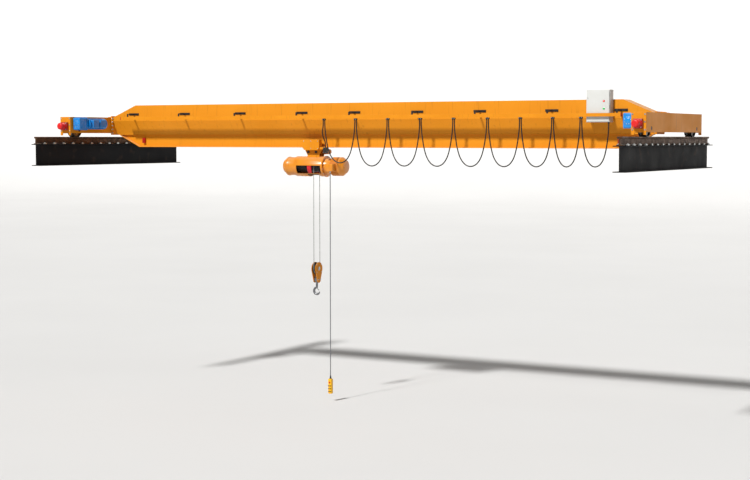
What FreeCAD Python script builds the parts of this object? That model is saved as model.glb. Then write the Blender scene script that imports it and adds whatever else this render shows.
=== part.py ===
"""Overhead bridge crane: two rails on runway beams, a box girder on end trucks, and a rope hoist.

The frame: the origin is on the underside of the left runway beam, where the girder's centre line
crosses the left rail's. X runs along the girder to the right rail, Y to the back, Z up. Millimetres.
"""
import FreeCAD, Part
import Sketcher
import math
import os
import re

Vector = FreeCAD.Vector

# Driving dimensions, in millimetres.
DIMENSIONS = {
    # runway: the beams under the two rails
    "span": 14130, "runway_front": 2770, "runway_back": 2600,
    "beam_depth": 500, "beam_width": 260, "beam_flange": 18, "beam_web": 14,
    "rail_height": 170, "rail_head": 100, "rail_head_depth": 46, "rail_web": 34,
    "rail_foot": 130, "rail_foot_depth": 24,
    "clip_pitch": 330, "clip_length": 80, "clip_width": 46, "clip_lap": 14, "clip_plate": 16,
    # end trucks and their wheels
    "truck_length": 3430, "truck_width": 300, "truck_height": 380, "truck_lift": 87,
    "truck_wall": 12, "wheel_base": 2820, "wheel_radius": 160, "wheel_rim": 18,
    "wheel_rim_width": 20, "axle_radius": 40, "bay_length": 400,
    "end_plate": 20, "end_leg": 55, "end_notch": 170, "notch_drop": 8,
    "buffer_base": 190, "buffer_base_depth": 70, "buffer_radius": 80, "buffer_length": 150,
    "buffer_drop": 30,
    # running clearances: round faces, and moving pieces beside fixed ones
    "running_gap": 0.3, "side_gap": 5,
    # how far a cutting solid stands past what it cuts
    "past": 5,
    # travel drives
    "gearbox_length": 330, "gearbox_width": 210, "gearbox_height": 300, "gearbox_front": 240,
    "gearbox_drop": 12,
    "motor_radius": 128, "motor_length": 650, "motor_box": 210, "motor_box_height": 180,
    "motor_box_proud": 45, "motor_box_gap": 50, "motor_box_start": 60,
    # girder
    "girder_height": 425, "girder_depth": 1000, "box_width": 420, "box_side": 373,
    "box_slope": 313, "girder_plate": 8, "taper_length": 880, "joint_plate": 20,
    "joint_width": 480, "joint_rise": 35, "joint_drop": 40, "splice_length": 420,
    "splice_width": 110, "splice_plate": 16, "splice_bolt": 16, "splice_head": 14,
    "splice_pitch": 91.304,
    "track_width": 150, "track_flange": 18, "track_web": 12, "taper_share": 0.9,
    "stop_place": 1000, "stop_length": 70, "stop_height": 120, "stop_depth": 58, "stop_rise": 95,
    # festoon track on the girder's front and the carriers on it
    "festoon_front": 466, "festoon_width": 50, "festoon_height": 70, "festoon_drop": 350,
    "festoon_wall": 4, "festoon_slot": 20, "festoon_start": 640, "festoon_inset": 810,
    "pad_inset": 200, "pad_end": 105,
    "pad_length": 290, "pad_height": 50, "pad_depth": 14, "pad_drop": 215,
    "arm_width": 40, "arm_plate": 14, "carrier_length": 72, "carrier_width": 56,
    "carrier_neck": 10, "roller_width": 32, "roller_height": 34, "clamp_height": 34,
    "cable_diameter": 26, "cable_half_pitch": 19, "cable_gland": 30, "cable_gland_radius": 22,
    "cable_place": 475, "cable_end_front": 380,
    "carrier_first": 500, "carrier_last": 90,
    # control cabinet
    "cabinet_inset": 1590, "cabinet_width": 510, "cabinet_drop": 464, "cabinet_height": 659,
    "cabinet_foot": 60, "cabinet_foot_low": 330, "cabinet_foot_high": 40,
    "cabinet_depth": 190, "cabinet_gap": 6, "door_depth": 22, "door_margin": 12,
    "lamp_radius": 26, "lamp_depth": 8, "lamp_side": 125, "lamp_red_rise": 427, "lamp_green_rise": 273,
    # trolley under the girder
    "trolley_place": 5850, "trolley_wheel_radius": 62, "trolley_rim": 13, "trolley_rim_width": 10,
    "trolley_tread_inset": 12, "trolley_wheel_base": 180, "trolley_axle": 20, "hub_radius": 36,
    "hub_depth": 15, "side_plate": 12, "side_plate_length": 440, "side_plate_top": 606,
    "side_plate_waist": 369, "side_plate_corner": 60, "side_plate_foot": 300,
    "cover_depth": 118, "cover_wall": 5, "cover_corner": 45,
    "bolt_rise": 326, "bolt_pitch": 200, "bolt_place": -30, "bolt_radius": 14, "bolt_head": 30,
    "bolt_head_depth": 18,
    "travel_motor_radius": 60, "travel_motor_length": 210, "travel_motor_place": 175,
    "travel_motor_rise": 330, "socket_bar": 230, "socket_bar_height": 50, "socket_bar_depth": 10,
    "socket_bar_rise": 385, "socket_bar_front": 190, "socket_length": 90, "socket_depth": 90,
    "socket_height": 130, "socket_top": 430,
    # hoist
    "shell_radius": 230, "shell_wall": 8, "shell_left": 470, "shell_length": 740, "shell_end": 15,
    "saddle_length": 320, "saddle_rise": 10, "saddle_lap": 40,
    "window_left": 390, "window_length": 640, "window_top": 20, "window_foot": 70,
    "drum_radius": 122, "drum_rim": 150, "drum_rim_width": 14, "drum_shaft": 40,
    "drum_end_gap": 10, "guide_place": 55, "guide_width": 100, "guide_inset": 45,
    "guide_mouth": 15, "guide_mouth_top": -20, "slot_width": 34, "outlet_top": -60,
    "reducer_length": 240, "reducer_radius": 215, "reducer_cap": 90,
    "reducer_cap_radius": 165, "ring_radius": 240, "ring_width": 30, "neck_length": 170,
    "neck_radius": 180, "hoist_motor_length": 240, "hoist_motor_radius": 212,
    "motor_end": 90, "motor_end_radius": 140, "terminal_left": 445, "terminal_length": 190,
    "terminal_top": 62, "terminal_height": 165, "terminal_front": 330, "terminal_back": 120,
    # hook block and ropes
    "rope_place": 20, "rope_radius": 7.5, "rope_reach": 130,
    "sheave_radius": 143, "sheave_width": 60, "sheave_rise": -2330, "sheave_pin": 25,
    "block_gap": 15, "block_plate": 14, "block_radius": 150, "block_foot": 75,
    "block_foot_drop": 250, "crosshead_height": 70, "crosshead_depth": 96, "shank_radius": 22,
    "nut_radius": 36, "nut_height": 34, "hook_bow": 75, "hook_thickness": 28, "hook_drop": 300,
    "collar_rim": 8, "collar_gap": 6, "collar_height": 24, "pin_proud": 8,
    "anchor_size": 30, "anchor_inset": 50, "outlet_half": 150, "outlet_reach": 148,
    # pendant
    "pendant_diameter": 20, "pendant_drop": 4640, "pendant_front": 280, "pendant_place": 545,
    "gland_radius": 18, "gland_length": 40, "station_width": 90, "station_depth": 80,
    "station_height": 340,
}

# Where the festoon carriers stand at rest, as shares of the way from the first, beside the
# trolley, to the last, beside the cabinet.
CARRIER_SHARES = [0, 0.1328, 0.2656, 0.3967, 0.527, 0.6574, 0.7803, 0.8984, 1]
# Where the pads that carry the festoon track stand, as shares of the way from the first to the last.
PAD_SHARES = [0, 0.122, 0.25, 0.386, 0.497, 0.624, 0.745, 0.878, 1]
# One hanging loop: share of the way across, and height above the lowest point as a share.
LOOP_ROUTE = [
    (0.0, 1.0), (0.0, 0.83), (0.038, 0.61), (0.09, 0.39), (0.175, 0.19), (0.315, 0.05),
    (0.5, -0.005), (0.69, 0.045), (0.83, 0.185), (0.915, 0.40), (0.965, 0.62), (1.0, 0.82),
    (1.0, 1.0),
]
LOOP_BOTTOMS = [85, 22, 28, 30, 33, 36, 40, 44, 48]
# The cable from the first carrier down to the trolley's socket.
DROP_ROUTE = [(6331, -466, 1036), (6331, -466, 915), (6294, -446, 790), (6260, -376, 690),
              (6246, -290, 610), (6255, -245, 530), (6255, -245, 430)]

# Heights of the two cuts in the shell's back, level with the rope.
BACK_SLOTS = [(-60, 70), (110, 140)]

doc = FreeCAD.newDocument("BridgeCrane")
sheet = doc.addObject("Spreadsheet::Sheet", "Dims")
for row, (alias, size) in enumerate(DIMENSIONS.items(), start=1):
    sheet.set(f"A{row}", alias)
    sheet.set(f"B{row}", str(size))
    sheet.setAlias(f"B{row}", alias)
doc.recompute()

NODES = []


def bound(text):
    """The expression with every dimension's name pointing at the sheet."""
    return re.sub(r"[a-z_]+", lambda m: "Dims." + m.group() if m.group() in DIMENSIONS else m.group(),
                  str(text))


def value(text):
    """The number that an expression of dimensions gives."""
    return float(sheet.evalExpression(bound(text)))


def place(thing, x, y, z):
    """Bind a piece's position to the sheet."""
    for axis, text in zip("xyz", (x, y, z)):
        thing.setExpression(f"Placement.Base.{axis}", bound(text))
    return thing


def turned(thing, axis):
    """Turn a piece made along Z so that it lies along X or Y."""
    if axis == "x":
        thing.Placement.Rotation = FreeCAD.Rotation(Vector(0, 1, 0), 90)
    if axis == "y":
        thing.Placement.Rotation = FreeCAD.Rotation(Vector(1, 0, 0), -90)
    return thing


def block(x, y, z):
    """A box between pairs of bounds."""
    made = doc.addObject("Part::Box", "Block")
    for side, (low, high) in zip(("Length", "Width", "Height"), (x, y, z)):
        made.setExpression(side, bound(f"({high}) - ({low})"))
    return place(made, x[0], y[0], z[0])


def rod(axis, centre, radius, ends):
    """A cylinder along an axis; centre gives the two other coordinates in X, Y, Z order."""
    made = turned(doc.addObject("Part::Cylinder", "Rod"), axis)
    made.setExpression("Radius", bound(radius))
    made.setExpression("Height", bound(f"({ends[1]}) - ({ends[0]})"))
    spot = list(centre)
    spot.insert("xyz".index(axis), ends[0])
    return place(made, *spot)


def taper(axis, centre, radii, ends):
    """A cone frustum along an axis, with a radius at each end."""
    made = turned(doc.addObject("Part::Cone", "Taper"), axis)
    made.setExpression("Radius1", bound(radii[0]))
    made.setExpression("Radius2", bound(radii[1]))
    made.setExpression("Height", bound(f"({ends[1]}) - ({ends[0]})"))
    spot = list(centre)
    spot.insert("xyz".index(axis), ends[0])
    return place(made, *spot)


def prism(plane, outline, ends, shift=("0", "0", "0")):
    """A PartDesign body: an outline drawn on a plane of its origin and padded between two ends."""
    body = doc.addObject("PartDesign::Body", "Body")
    sketch = body.newObject("Sketcher::SketchObject", "Outline")
    origin_plane = next(f for f in body.Origin.OriginFeatures if f.Role == plane)
    sketch.AttachmentSupport = [(origin_plane, "")]
    sketch.MapMode = "FlatFace"
    spots = [Vector(value(a), value(b), 0) for a, b in outline]
    count = len(spots)
    for i in range(count):
        sketch.addGeometry(Part.LineSegment(spots[i], spots[(i + 1) % count]), False)
    for i in range(count):
        sketch.addConstraint(Sketcher.Constraint("Coincident", i, 2, (i + 1) % count, 1))
    for i, texts in enumerate(outline):
        for way, text, at in zip(("DistanceX", "DistanceY"), texts, (spots[i].x, spots[i].y)):
            made = sketch.addConstraint(Sketcher.Constraint(way, -1, 1, i, 1, at))
            sketch.setExpression(f"Constraints[{made}]", bound(text))
    pad = body.newObject("PartDesign::Pad", "Pad")
    pad.Profile = sketch
    pad.setExpression("Length", bound(f"({ends[1]}) - ({ends[0]})"))
    start = {"XY_Plane": ("0", "0", ends[0]), "YZ_Plane": (ends[0], "0", "0"),
             "XZ_Plane": ("0", ends[1], "0")}[plane]
    return place(body, *[f"({a}) + ({b})" for a, b in zip(start, shift)])


def cut(base, *tools):
    """One solid less others."""
    for tool in tools:
        made = doc.addObject("Part::Cut", "Cut")
        made.Base = base
        made.Tool = tool
        base = made
    return base


def fuse(*pieces):
    """Several solids welded into one."""
    made = doc.addObject("Part::MultiFuse", "Fuse")
    made.Shapes = list(pieces)
    return made


def group(pieces):
    """Like pieces that don't touch, kept as one sub-part."""
    made = doc.addObject("Part::Compound", "Group")
    made.Links = list(pieces)
    return made


def common(first, second):
    """What two solids share."""
    made = doc.addObject("Part::Common", "Common")
    made.Base = first
    made.Tool = second
    return made


def node(name, thing):
    """Name a sub-part and list it for export."""
    thing.Label = name
    NODES.append(thing)
    return thing


def middle(centre, size):
    """Bounds of a size about a centre."""
    return f"({centre}) - ({size}) / 2", f"({centre}) + ({size}) / 2"


def on_side(side, bounds):
    """Bounds measured from the left rail, carried over to the right rail for side 1."""
    low, high = bounds
    return (low, high) if side == 0 else (f"span - ({high})", f"span - ({low})")


# Levels and places that several pieces share.
BEAM_TOP = "beam_depth"
RAIL_TOP = "(beam_depth + rail_height)"
TRUCK_BASE = f"({RAIL_TOP} + truck_lift)"
TRUCK_TOP = f"({TRUCK_BASE} + truck_height)"
WHEEL_RISE = f"({RAIL_TOP} + wheel_radius + running_gap)"
GIRDER_TOP = "(girder_height + girder_depth)"
TRACK_TOP = f"({GIRDER_TOP} - box_side - box_slope)"
BOX_START = "(truck_width / 2 + 2 * joint_plate)"
FLANGE_TOP = "(girder_height + track_flange)"
FESTOON_BASE = f"({GIRDER_TOP} - festoon_drop)"
CABINET_LEFT = "(span - cabinet_inset)"
FESTOON_END = "(span - festoon_inset)"
CABLE_END = f"({CABINET_LEFT} + cable_place)"
PAD_RISE = f"({GIRDER_TOP} - pad_drop)"
CABINET_BASE = f"({GIRDER_TOP} - cabinet_drop)"
SADDLE_TOP = "(shell_radius + saddle_rise)"
ANCHOR_RISE = "(anchor_inset - shell_radius)"
TROLLEY_PLATE = "(track_width / 2 + 2 * side_gap + trolley_rim_width)"
TROLLEY_SIDE = f"({TROLLEY_PLATE} + side_plate)"
SIDES = ("left", "right")


def runway():
    """The fixed part: an I-beam, a crane rail and its clips on each side."""
    ends = ("-runway_front", "runway_back")
    half, web = "beam_width / 2", "beam_web / 2"
    low, high = "beam_flange", "beam_depth - beam_flange"
    right = [(half, "0"), (half, low), (web, low), (web, high), (half, high), (half, "beam_depth")]
    beam = right + [(f"-({a})", b) for a, b in reversed(right)]
    foot, neck, head = "rail_foot / 2", "rail_web / 2", "rail_head / 2"
    foot_edge, head_edge = "rail_foot_depth / 2", "rail_head_depth * 0.8"
    rail_right = [
        (foot, BEAM_TOP), (foot, f"{BEAM_TOP} + {foot_edge}"), (neck, f"{BEAM_TOP} + rail_foot_depth"),
        (neck, f"{RAIL_TOP} - rail_head_depth"), (head, f"{RAIL_TOP} - {head_edge}"), (head, RAIL_TOP),
    ]
    rail = rail_right + [(f"-({a})", b) for a, b in reversed(rail_right)]
    for side, name in enumerate(SIDES):
        shift = (f"{side} * span", "0", "0")
        node(f"runway_beam_{name}", prism("XZ_Plane", beam, ends, shift))
        node(f"rail_{name}", prism("XZ_Plane", rail, ends, shift))
    node("rail_clips", group(list(rail_clips())))


def rail_clips():
    """Clips in pairs along both rails: a pad on the beam with a lip over the rail's foot."""
    pitch, length = value("clip_pitch"), value("runway_front + runway_back")
    count = int(length // pitch)
    first = value("(runway_back - runway_front) / 2") - pitch * (count - 1) / 2
    foot, rise = "rail_foot / 2", f"{BEAM_TOP} + rail_foot_depth / 2"
    for side in (0, 1):
        for index in range(count):
            along = middle(first + pitch * index, "clip_length")
            for out in (-1, 1):
                centre = f"{side} * span + {out} * ({foot} + clip_width / 2)"
                pad = block(middle(centre, "clip_width"), along, (BEAM_TOP, f"{rise} + clip_plate"))
                lip = f"{side} * span + {out} * ({foot} - clip_lap / 2)"
                lap = block(middle(lip, "clip_lap"), along,
                            (f"{rise} + clip_plate / 2", f"{rise} + clip_plate"))
                yield fuse(pad, lap)


def end_trucks():
    """The two end trucks: rectangular tubes open below at the wheels, with bored side walls."""
    for side, name in enumerate(SIDES):
        half = "truck_width / 2"
        tube = block(on_side(side, (f"-({half})", half)), middle("0", "truck_length"),
                     (TRUCK_BASE, TRUCK_TOP))
        inner = f"{half} - truck_wall"
        hollow = block(on_side(side, (f"-({inner})", inner)), middle("0", "truck_length + 4 * past"),
                       (f"{TRUCK_BASE} + truck_wall", f"{TRUCK_TOP} - truck_wall"))
        tools = [hollow]
        for end in (-1, 1):
            place_y = f"{end} * wheel_base / 2"
            tools.append(block(on_side(side, (f"-({inner})", inner)), middle(place_y, "bay_length"),
                               (f"{TRUCK_BASE} - past", f"{TRUCK_BASE} + truck_wall + past")))
            tools.append(rod("x", (place_y, WHEEL_RISE), "axle_radius + running_gap",
                             on_side(side, (f"-({half}) - past", f"{half} + past"))))
        joint = block(on_side(side, (half, f"{half} + joint_plate")), middle("0", "joint_width"),
                      (f"{TRUCK_BASE} - joint_drop", f"{TRUCK_TOP} + joint_rise"))
        node(f"end_truck_{name}", fuse(cut(tube, *tools), joint))
    node("truck_end_plates", group([end_plate(side, end) for side in (0, 1) for end in (-1, 1)]))
    node("buffers", group([buffer(side, end) for side in (0, 1) for end in (-1, 1)]))


def end_face(end, depth, start="0"):
    """Bounds along Y of something that stands on a truck's end, start away from the tube."""
    near = f"truck_length / 2 + ({start})"
    far = f"{near} + ({depth})"
    return (near, far) if end > 0 else (f"-({far})", f"-({near})")


def end_plate(side, end):
    """A plate that closes a truck's end, with two legs that stand either side of the rail."""
    half = "truck_width / 2"
    plate = block(on_side(side, (f"-({half})", half)), end_face(end, "end_plate"),
                  (f"{TRUCK_BASE} - end_leg", TRUCK_TOP))
    notch = block(middle(f"{side} * span", "end_notch"), end_face(end, "end_plate + 4 * past", "-2 * past"),
                  (f"{TRUCK_BASE} - end_leg - past", f"{TRUCK_BASE} - notch_drop"))
    return cut(plate, notch)


def buffer(side, end):
    """A square buffer seat with a domed rubber nose."""
    rise = f"({TRUCK_BASE} + truck_height / 2 - buffer_drop)"
    seat = block(middle(f"{side} * span", "buffer_base"), end_face(end, "buffer_base_depth", "end_plate"),
                 middle(rise, "buffer_base"))
    straight = "buffer_length - buffer_radius * 0.6"
    start = "end_plate + buffer_base_depth"
    nose = rod("y", (f"{side} * span", rise), "buffer_radius", end_face(end, straight, start))
    dome_at = f"{end} * (truck_length / 2 + {start} + {straight})"
    dome = doc.addObject("Part::Ellipsoid", "Dome")
    dome.setExpression("Radius1", bound("buffer_radius * 0.6"))
    dome.setExpression("Radius2", bound("buffer_radius"))
    turned(dome, "y")
    place(dome, f"{side} * span", dome_at, rise)
    return fuse(seat, nose, dome)


def crane_wheels():
    """Four double-flanged rail wheels, each with its axle in the truck's bores."""
    tread = "rail_head / 2 + side_gap"
    for side, name in enumerate(SIDES):
        centre = f"{side} * span"
        for end, where in ((-1, "front"), (1, "back")):
            spot = (f"{end} * wheel_base / 2", WHEEL_RISE)
            parts = [
                rod("x", spot, "wheel_radius", middle(centre, f"2 * ({tread}) + wheel_rim_width")),
                rod("x", spot, "axle_radius", middle(centre, "truck_width - 4")),
            ]
            for out in (-1, 1):
                rim = f"{centre} + {out} * ({tread} + wheel_rim_width / 2)"
                parts.append(rod("x", spot, "wheel_radius + wheel_rim", middle(rim, "wheel_rim_width")))
            node(f"crane_wheel_{name}_{where}", fuse(*parts))


def travel_drives():
    """A bevel gearbox on each truck's inner wall at the front wheel, and a motor along the truck."""
    gearboxes, motors = [], []
    rise = f"({TRUCK_TOP} - gearbox_height / 2 - gearbox_drop)"
    near = "truck_width / 2"
    front = "-(wheel_base / 2 + gearbox_front)"
    join = f"({front} + gearbox_length)"
    axis_x = f"({near} + motor_radius + side_gap)"
    for side in (0, 1):
        gearboxes.append(block(on_side(side, (near, f"{near} + gearbox_width")),
                               (front, join), middle(rise, "gearbox_height")))
        centre = axis_x if side == 0 else f"span - {axis_x}"
        parts = [rod("y", (centre, rise), "motor_radius", (join, f"{join} + motor_length"))]
        for index in (0, 1):
            start = f"{join} + motor_box_start + {index} * (motor_box + motor_box_gap)"
            parts.append(block(
                on_side(side, (axis_x, f"{axis_x} + motor_radius + motor_box_proud")),
                (start, f"{start} + motor_box"), middle(rise, "motor_box_height")))
        motors.append(fuse(*parts))
    node("drive_gearboxes", group(gearboxes))
    node("drive_motors", group(motors))


def girder_side(low, high, inset):
    """The girder's outline seen from the front: straight, with both ends tapered to the trucks."""
    start, straight = f"({BOX_START} + {inset})", "taper_length"
    near_low, near_high = f"{TRUCK_BASE} + {inset}", f"{TRUCK_TOP} - {inset}"
    return [
        (start, near_low), (straight, low), (f"span - {straight}", low), (f"span - {start}", near_low),
        (f"span - {start}", near_high), (f"span - {straight}", high), (straight, high),
        (start, near_high),
    ]


def girder():
    """The welded girder: a hollow upper box with sloping lower plates on an I-section track beam."""
    skin = "girder_plate"
    solids = []
    for inset in ("0", skin):
        half, foot = f"box_width / 2 - {inset}", f"track_width / 2 - {inset}"
        corner = f"{GIRDER_TOP} - box_side"
        section = [
            (half, f"{GIRDER_TOP} - {inset}"), (half, corner), (foot, f"{TRACK_TOP} + {inset}"),
            (f"-({foot})", f"{TRACK_TOP} + {inset}"), (f"-({half})", corner),
            (f"-({half})", f"{GIRDER_TOP} - {inset}"),
        ]
        along = (f"{BOX_START} + {inset}", f"span - {BOX_START} - {inset}")
        swept = prism("YZ_Plane", section, along)
        outline = girder_side(f"girder_height + {inset}", f"{GIRDER_TOP} - {inset}", inset)
        solids.append(common(swept, prism("XZ_Plane", outline, ("-box_width", "box_width"))))
    node("girder_box", fuse(cut(*solids), track_beam()))
    plates = [block(on_side(side, ("truck_width / 2 + joint_plate", BOX_START)),
                    middle("0", "joint_width"),
                    (f"{TRUCK_BASE} - joint_drop", f"{TRUCK_TOP} + joint_rise")) for side in (0, 1)]
    node("girder_end_plates", group(plates))
    node("splice_plates", group([splice(side) for side in (0, 1)]))
    node("end_stops", group(list(end_stops())))


def between_plates(thing):
    """A piece of the girder trimmed to the space between its two end plates."""
    return common(thing, block((BOX_START, f"span - {BOX_START}"), ("-box_width", "box_width"),
                               ("girder_height", GIRDER_TOP)))


def taper_at(level, low, high):
    """Where a line that falls from the truck at one height to the straight part at another has a level."""
    return f"(taper_length - ({level} - {low}) / ({high} - {low}) * (taper_length - {BOX_START}))"


def track_beam():
    """The I-section that the trolley runs on; its lower flange and web rise to the trucks.

    It names the web and the flange, and gives the top strip, which is welded to the box.
    """
    web, half = "track_web / 2", "track_width / 2"
    end_top = f"({TRUCK_BASE} + track_flange * taper_share)"
    low_x = taper_at(TRACK_TOP, "girder_height", TRUCK_BASE)
    high_x = taper_at(TRACK_TOP, FLANGE_TOP, end_top)
    strip_base = f"({TRACK_TOP} - track_flange)"
    strip_x = taper_at(strip_base, FLANGE_TOP, end_top)
    web_outline = [(strip_x, strip_base), ("taper_length", FLANGE_TOP),
                   ("span - taper_length", FLANGE_TOP), (f"span - {strip_x}", strip_base)]
    node("track_web", between_plates(prism("XZ_Plane", web_outline, (f"-({web})", web))))
    node("track_flange", block(("taper_length", "span - taper_length"), (f"-({half})", half),
                               ("girder_height", FLANGE_TOP)))
    ends = []
    for side in (0, 1):
        outline = [("taper_length", "girder_height"), ("taper_length", FLANGE_TOP),
                   (high_x, TRACK_TOP), (low_x, TRACK_TOP)]
        if side:
            outline = [(f"span - {across}", rise) for across, rise in reversed(outline)]
        ends.append(between_plates(prism("XZ_Plane", outline, (f"-({half})", half))))
    node("track_flange_ends", group(ends))
    strip = [(strip_x, strip_base), (f"span - {strip_x}", strip_base),
             (f"span - {high_x}", TRACK_TOP), (high_x, TRACK_TOP)]
    return between_plates(prism("XZ_Plane", strip, (f"-({half})", half)))


def splice(side):
    """A lap plate on the truck's top that meets the joint plate, with a row of bolt heads."""
    reach = ("truck_width / 2 - splice_width", "truck_width / 2")
    plate = block(on_side(side, reach), middle("0", "splice_length"),
                  (TRUCK_TOP, f"{TRUCK_TOP} + splice_plate"))
    centre = "truck_width / 2 - splice_width / 2"
    centre = centre if side == 0 else f"span - ({centre})"
    heads = []
    for index in range(4):
        along = f"({index} - 1.5) * splice_pitch"
        heads.append(rod("z", (centre, along), "splice_bolt",
                         (f"{TRUCK_TOP} + splice_plate", f"{TRUCK_TOP} + splice_plate + splice_head")))
    return fuse(plate, *heads)


def end_stops():
    """Stop blocks bolted to both faces of the track beam's web near its ends."""
    rise = ("girder_height + stop_rise", "girder_height + stop_rise + stop_height")
    for centre in ("stop_place", "span - stop_place"):
        for out in (-1, 1):
            depth = f"{out} * (track_web / 2 + stop_depth / 2)"
            yield block(middle(centre, "stop_length"), middle(depth, "stop_depth"), rise)


def festoon_track():
    """The cable track along the front, its pads and arms, and the carriers that slide on it."""
    top = f"{FESTOON_BASE} + festoon_height"
    half, wall, slot = "festoon_width / 2", "festoon_wall", "festoon_slot / 2"
    right = [(slot, FESTOON_BASE), (half, FESTOON_BASE), (half, top)]
    inner = [(f"{half} - {wall}", f"{top} - {wall}"), (f"{half} - {wall}", f"{FESTOON_BASE} + {wall}"),
             (slot, f"{FESTOON_BASE} + {wall}")]
    left = [(f"-({a})", b) for a, b in reversed(right)]
    inner_left = [(f"-({a})", b) for a, b in reversed(inner)]
    node("festoon_track", prism("YZ_Plane", right + left + inner_left + inner,
                                ("festoon_start", FESTOON_END), ("0", "-festoon_front", "0")))
    pads = []
    first, last = "(festoon_start + pad_inset)", f"({FESTOON_END} - pad_end)"
    for share in PAD_SHARES:
        spot = f"({first} + {share} * ({last} - {first}))"
        pad = block(middle(spot, "pad_length"), ("-box_width / 2 - pad_depth", "-box_width / 2"),
                    middle(PAD_RISE, "pad_height"))
        arm = block(middle(spot, "arm_width"), ("-festoon_front", "-box_width / 2 - pad_depth"),
                    middle(PAD_RISE, "arm_plate"))
        drop = block(middle(spot, "arm_width"), ("-festoon_front", "-festoon_front + arm_plate"),
                     (top, f"{PAD_RISE} + arm_plate / 2"))
        pads.append(fuse(pad, arm, drop))
    node("track_brackets", group(pads))
    for index, share in enumerate(CARRIER_SHARES, start=1):
        node(f"festoon_carrier_{index}", carrier(carrier_place(share)))


def carrier_place(share):
    """Centre of the carrier that stands at this share of the way along."""
    first, last = "(trolley_place + carrier_first)", f"({CABINET_LEFT} - carrier_last)"
    return f"({first} + {share} * ({last} - {first}))"


def carrier(spot):
    """A roller body that runs inside the track, a neck through its slot and a cable clamp below."""
    along, centre = middle(spot, "carrier_length"), "-festoon_front"
    floor = f"{FESTOON_BASE} + festoon_wall + running_gap"
    low = f"{FESTOON_BASE} - side_gap"
    roller = block(along, middle(centre, "roller_width"), (floor, f"{floor} + roller_height"))
    neck = block(along, middle(centre, "carrier_neck"), (low, floor))
    clamp = block(along, middle(centre, "carrier_width"), (f"{low} - clamp_height", low))
    return fuse(roller, neck, clamp)


def cabinet():
    """The control cabinet on the girder's front, its door and its two lamps."""
    left = CABINET_LEFT
    right = f"{left} + cabinet_width"
    back = "-box_width / 2 - cabinet_gap"
    front = f"{back} - cabinet_depth"
    rise = (CABINET_BASE, f"{CABINET_BASE} + cabinet_height")
    housing = block((left, right), (front, back), rise)
    foot_rise = (f"{GIRDER_TOP} - cabinet_foot_low", f"{GIRDER_TOP} - cabinet_foot_high")
    feet = [block(middle(f"{left} + {share} * cabinet_width", "cabinet_foot"),
                  (back, "-box_width / 2"), foot_rise) for share in (0.2, 0.8)]
    gland = rod("z", (CABLE_END, "-cable_end_front"), "cable_gland_radius",
                (f"{CABINET_BASE} - cable_gland", CABINET_BASE))
    node("control_cabinet", fuse(housing, gland, *feet))
    door = block((f"{left} + door_margin", f"{right} - door_margin"), (f"{front} - door_depth", front),
                 (f"{rise[0]} + door_margin", f"{rise[1]} - door_margin"))
    node("cabinet_door", door)
    lamps = [rod("y", (f"{right} - lamp_side", f"{CABINET_BASE} + {lift}"), "lamp_radius",
                 (f"{front} - door_depth - lamp_depth", f"{front} - door_depth"))
             for lift in ("lamp_red_rise", "lamp_green_rise")]
    node("cabinet_lamps", group(lamps))


def trolley():
    """The trolley frame: two side plates held by tie bolts, a cover, a motor and the cable socket."""
    spot = "trolley_place"
    half, foot = "side_plate_length / 2", "side_plate_foot / 2"
    corner, top, waist = "side_plate_corner", "side_plate_top", "side_plate_waist"
    outline = [
        (f"-({foot})", SADDLE_TOP), (foot, SADDLE_TOP), (half, waist),
        (half, f"{top} - {corner}"), (f"{half} - {corner}", top), (f"-({half}) + {corner}", top),
        (f"-({half})", f"{top} - {corner}"), (f"-({half})", waist),
    ]
    plates = []
    for out in (-1, 1):
        low, high = (TROLLEY_PLATE, TROLLEY_SIDE) if out > 0 else (f"-{TROLLEY_SIDE}", f"-{TROLLEY_PLATE}")
        plate = prism("XZ_Plane", outline, (low, high), (spot, "0", "0"))
        holes = []
        for way in (-1, 1):
            wheel = (f"{spot} + {way} * trolley_wheel_base / 2", trolley_wheel_rise())
            holes.append(rod("y", wheel, "trolley_axle + running_gap", (f"{low} - past", f"{high} + past")))
            bolt = (f"{spot} + bolt_place + {way} * bolt_pitch / 2", "bolt_rise")
            holes.append(rod("y", bolt, "bolt_radius + running_gap", (f"{low} - past", f"{high} + past")))
        plates.append(cut(plate, *holes))
    saddle = block(middle(spot, "saddle_length"), (f"-{TROLLEY_SIDE}", TROLLEY_SIDE),
                   ("shell_radius - saddle_lap", SADDLE_TOP))
    seat = rod("x", ("0", "0"), "shell_radius + running_gap", middle(spot, "saddle_length + 4 * past"))
    node("trolley_frame", fuse(cut(saddle, seat), *plates))
    node("tie_bolts", group([tie_bolt(way) for way in (-1, 1)]))
    motor_at = (f"{spot} + travel_motor_place", "travel_motor_rise")
    straight = f"{TROLLEY_SIDE} + travel_motor_length * 0.8"
    motor = fuse(rod("y", motor_at, "travel_motor_radius", (TROLLEY_SIDE, straight)),
                 taper("y", motor_at, ("travel_motor_radius", "travel_motor_radius * 0.55"),
                       (straight, f"{TROLLEY_SIDE} + travel_motor_length")))
    node("trolley_motor", motor)
    side = f"{spot} + {half}"
    bar = block((side, f"{side} + socket_bar"),
                ("-socket_bar_front - socket_bar_depth", "-socket_bar_front"),
                ("socket_bar_rise", "socket_bar_rise + socket_bar_height"))
    node("trolley_cover", fuse(trolley_cover(), bar))
    far = f"{side} + socket_bar"
    front = "-socket_bar_front - socket_bar_depth"
    node("cable_socket", block((f"{far} - socket_length", far), (f"{front} - socket_depth", front),
                               ("socket_top - socket_height", "socket_top")))
    for way, name in ((-1, "left"), (1, "right")):
        node(f"trolley_wheels_{name}", trolley_wheels(way))


def trolley_wheel_rise():
    """Height of the trolley wheels' axles over the lower flange."""
    return f"{FLANGE_TOP} + trolley_wheel_radius + running_gap"


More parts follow.
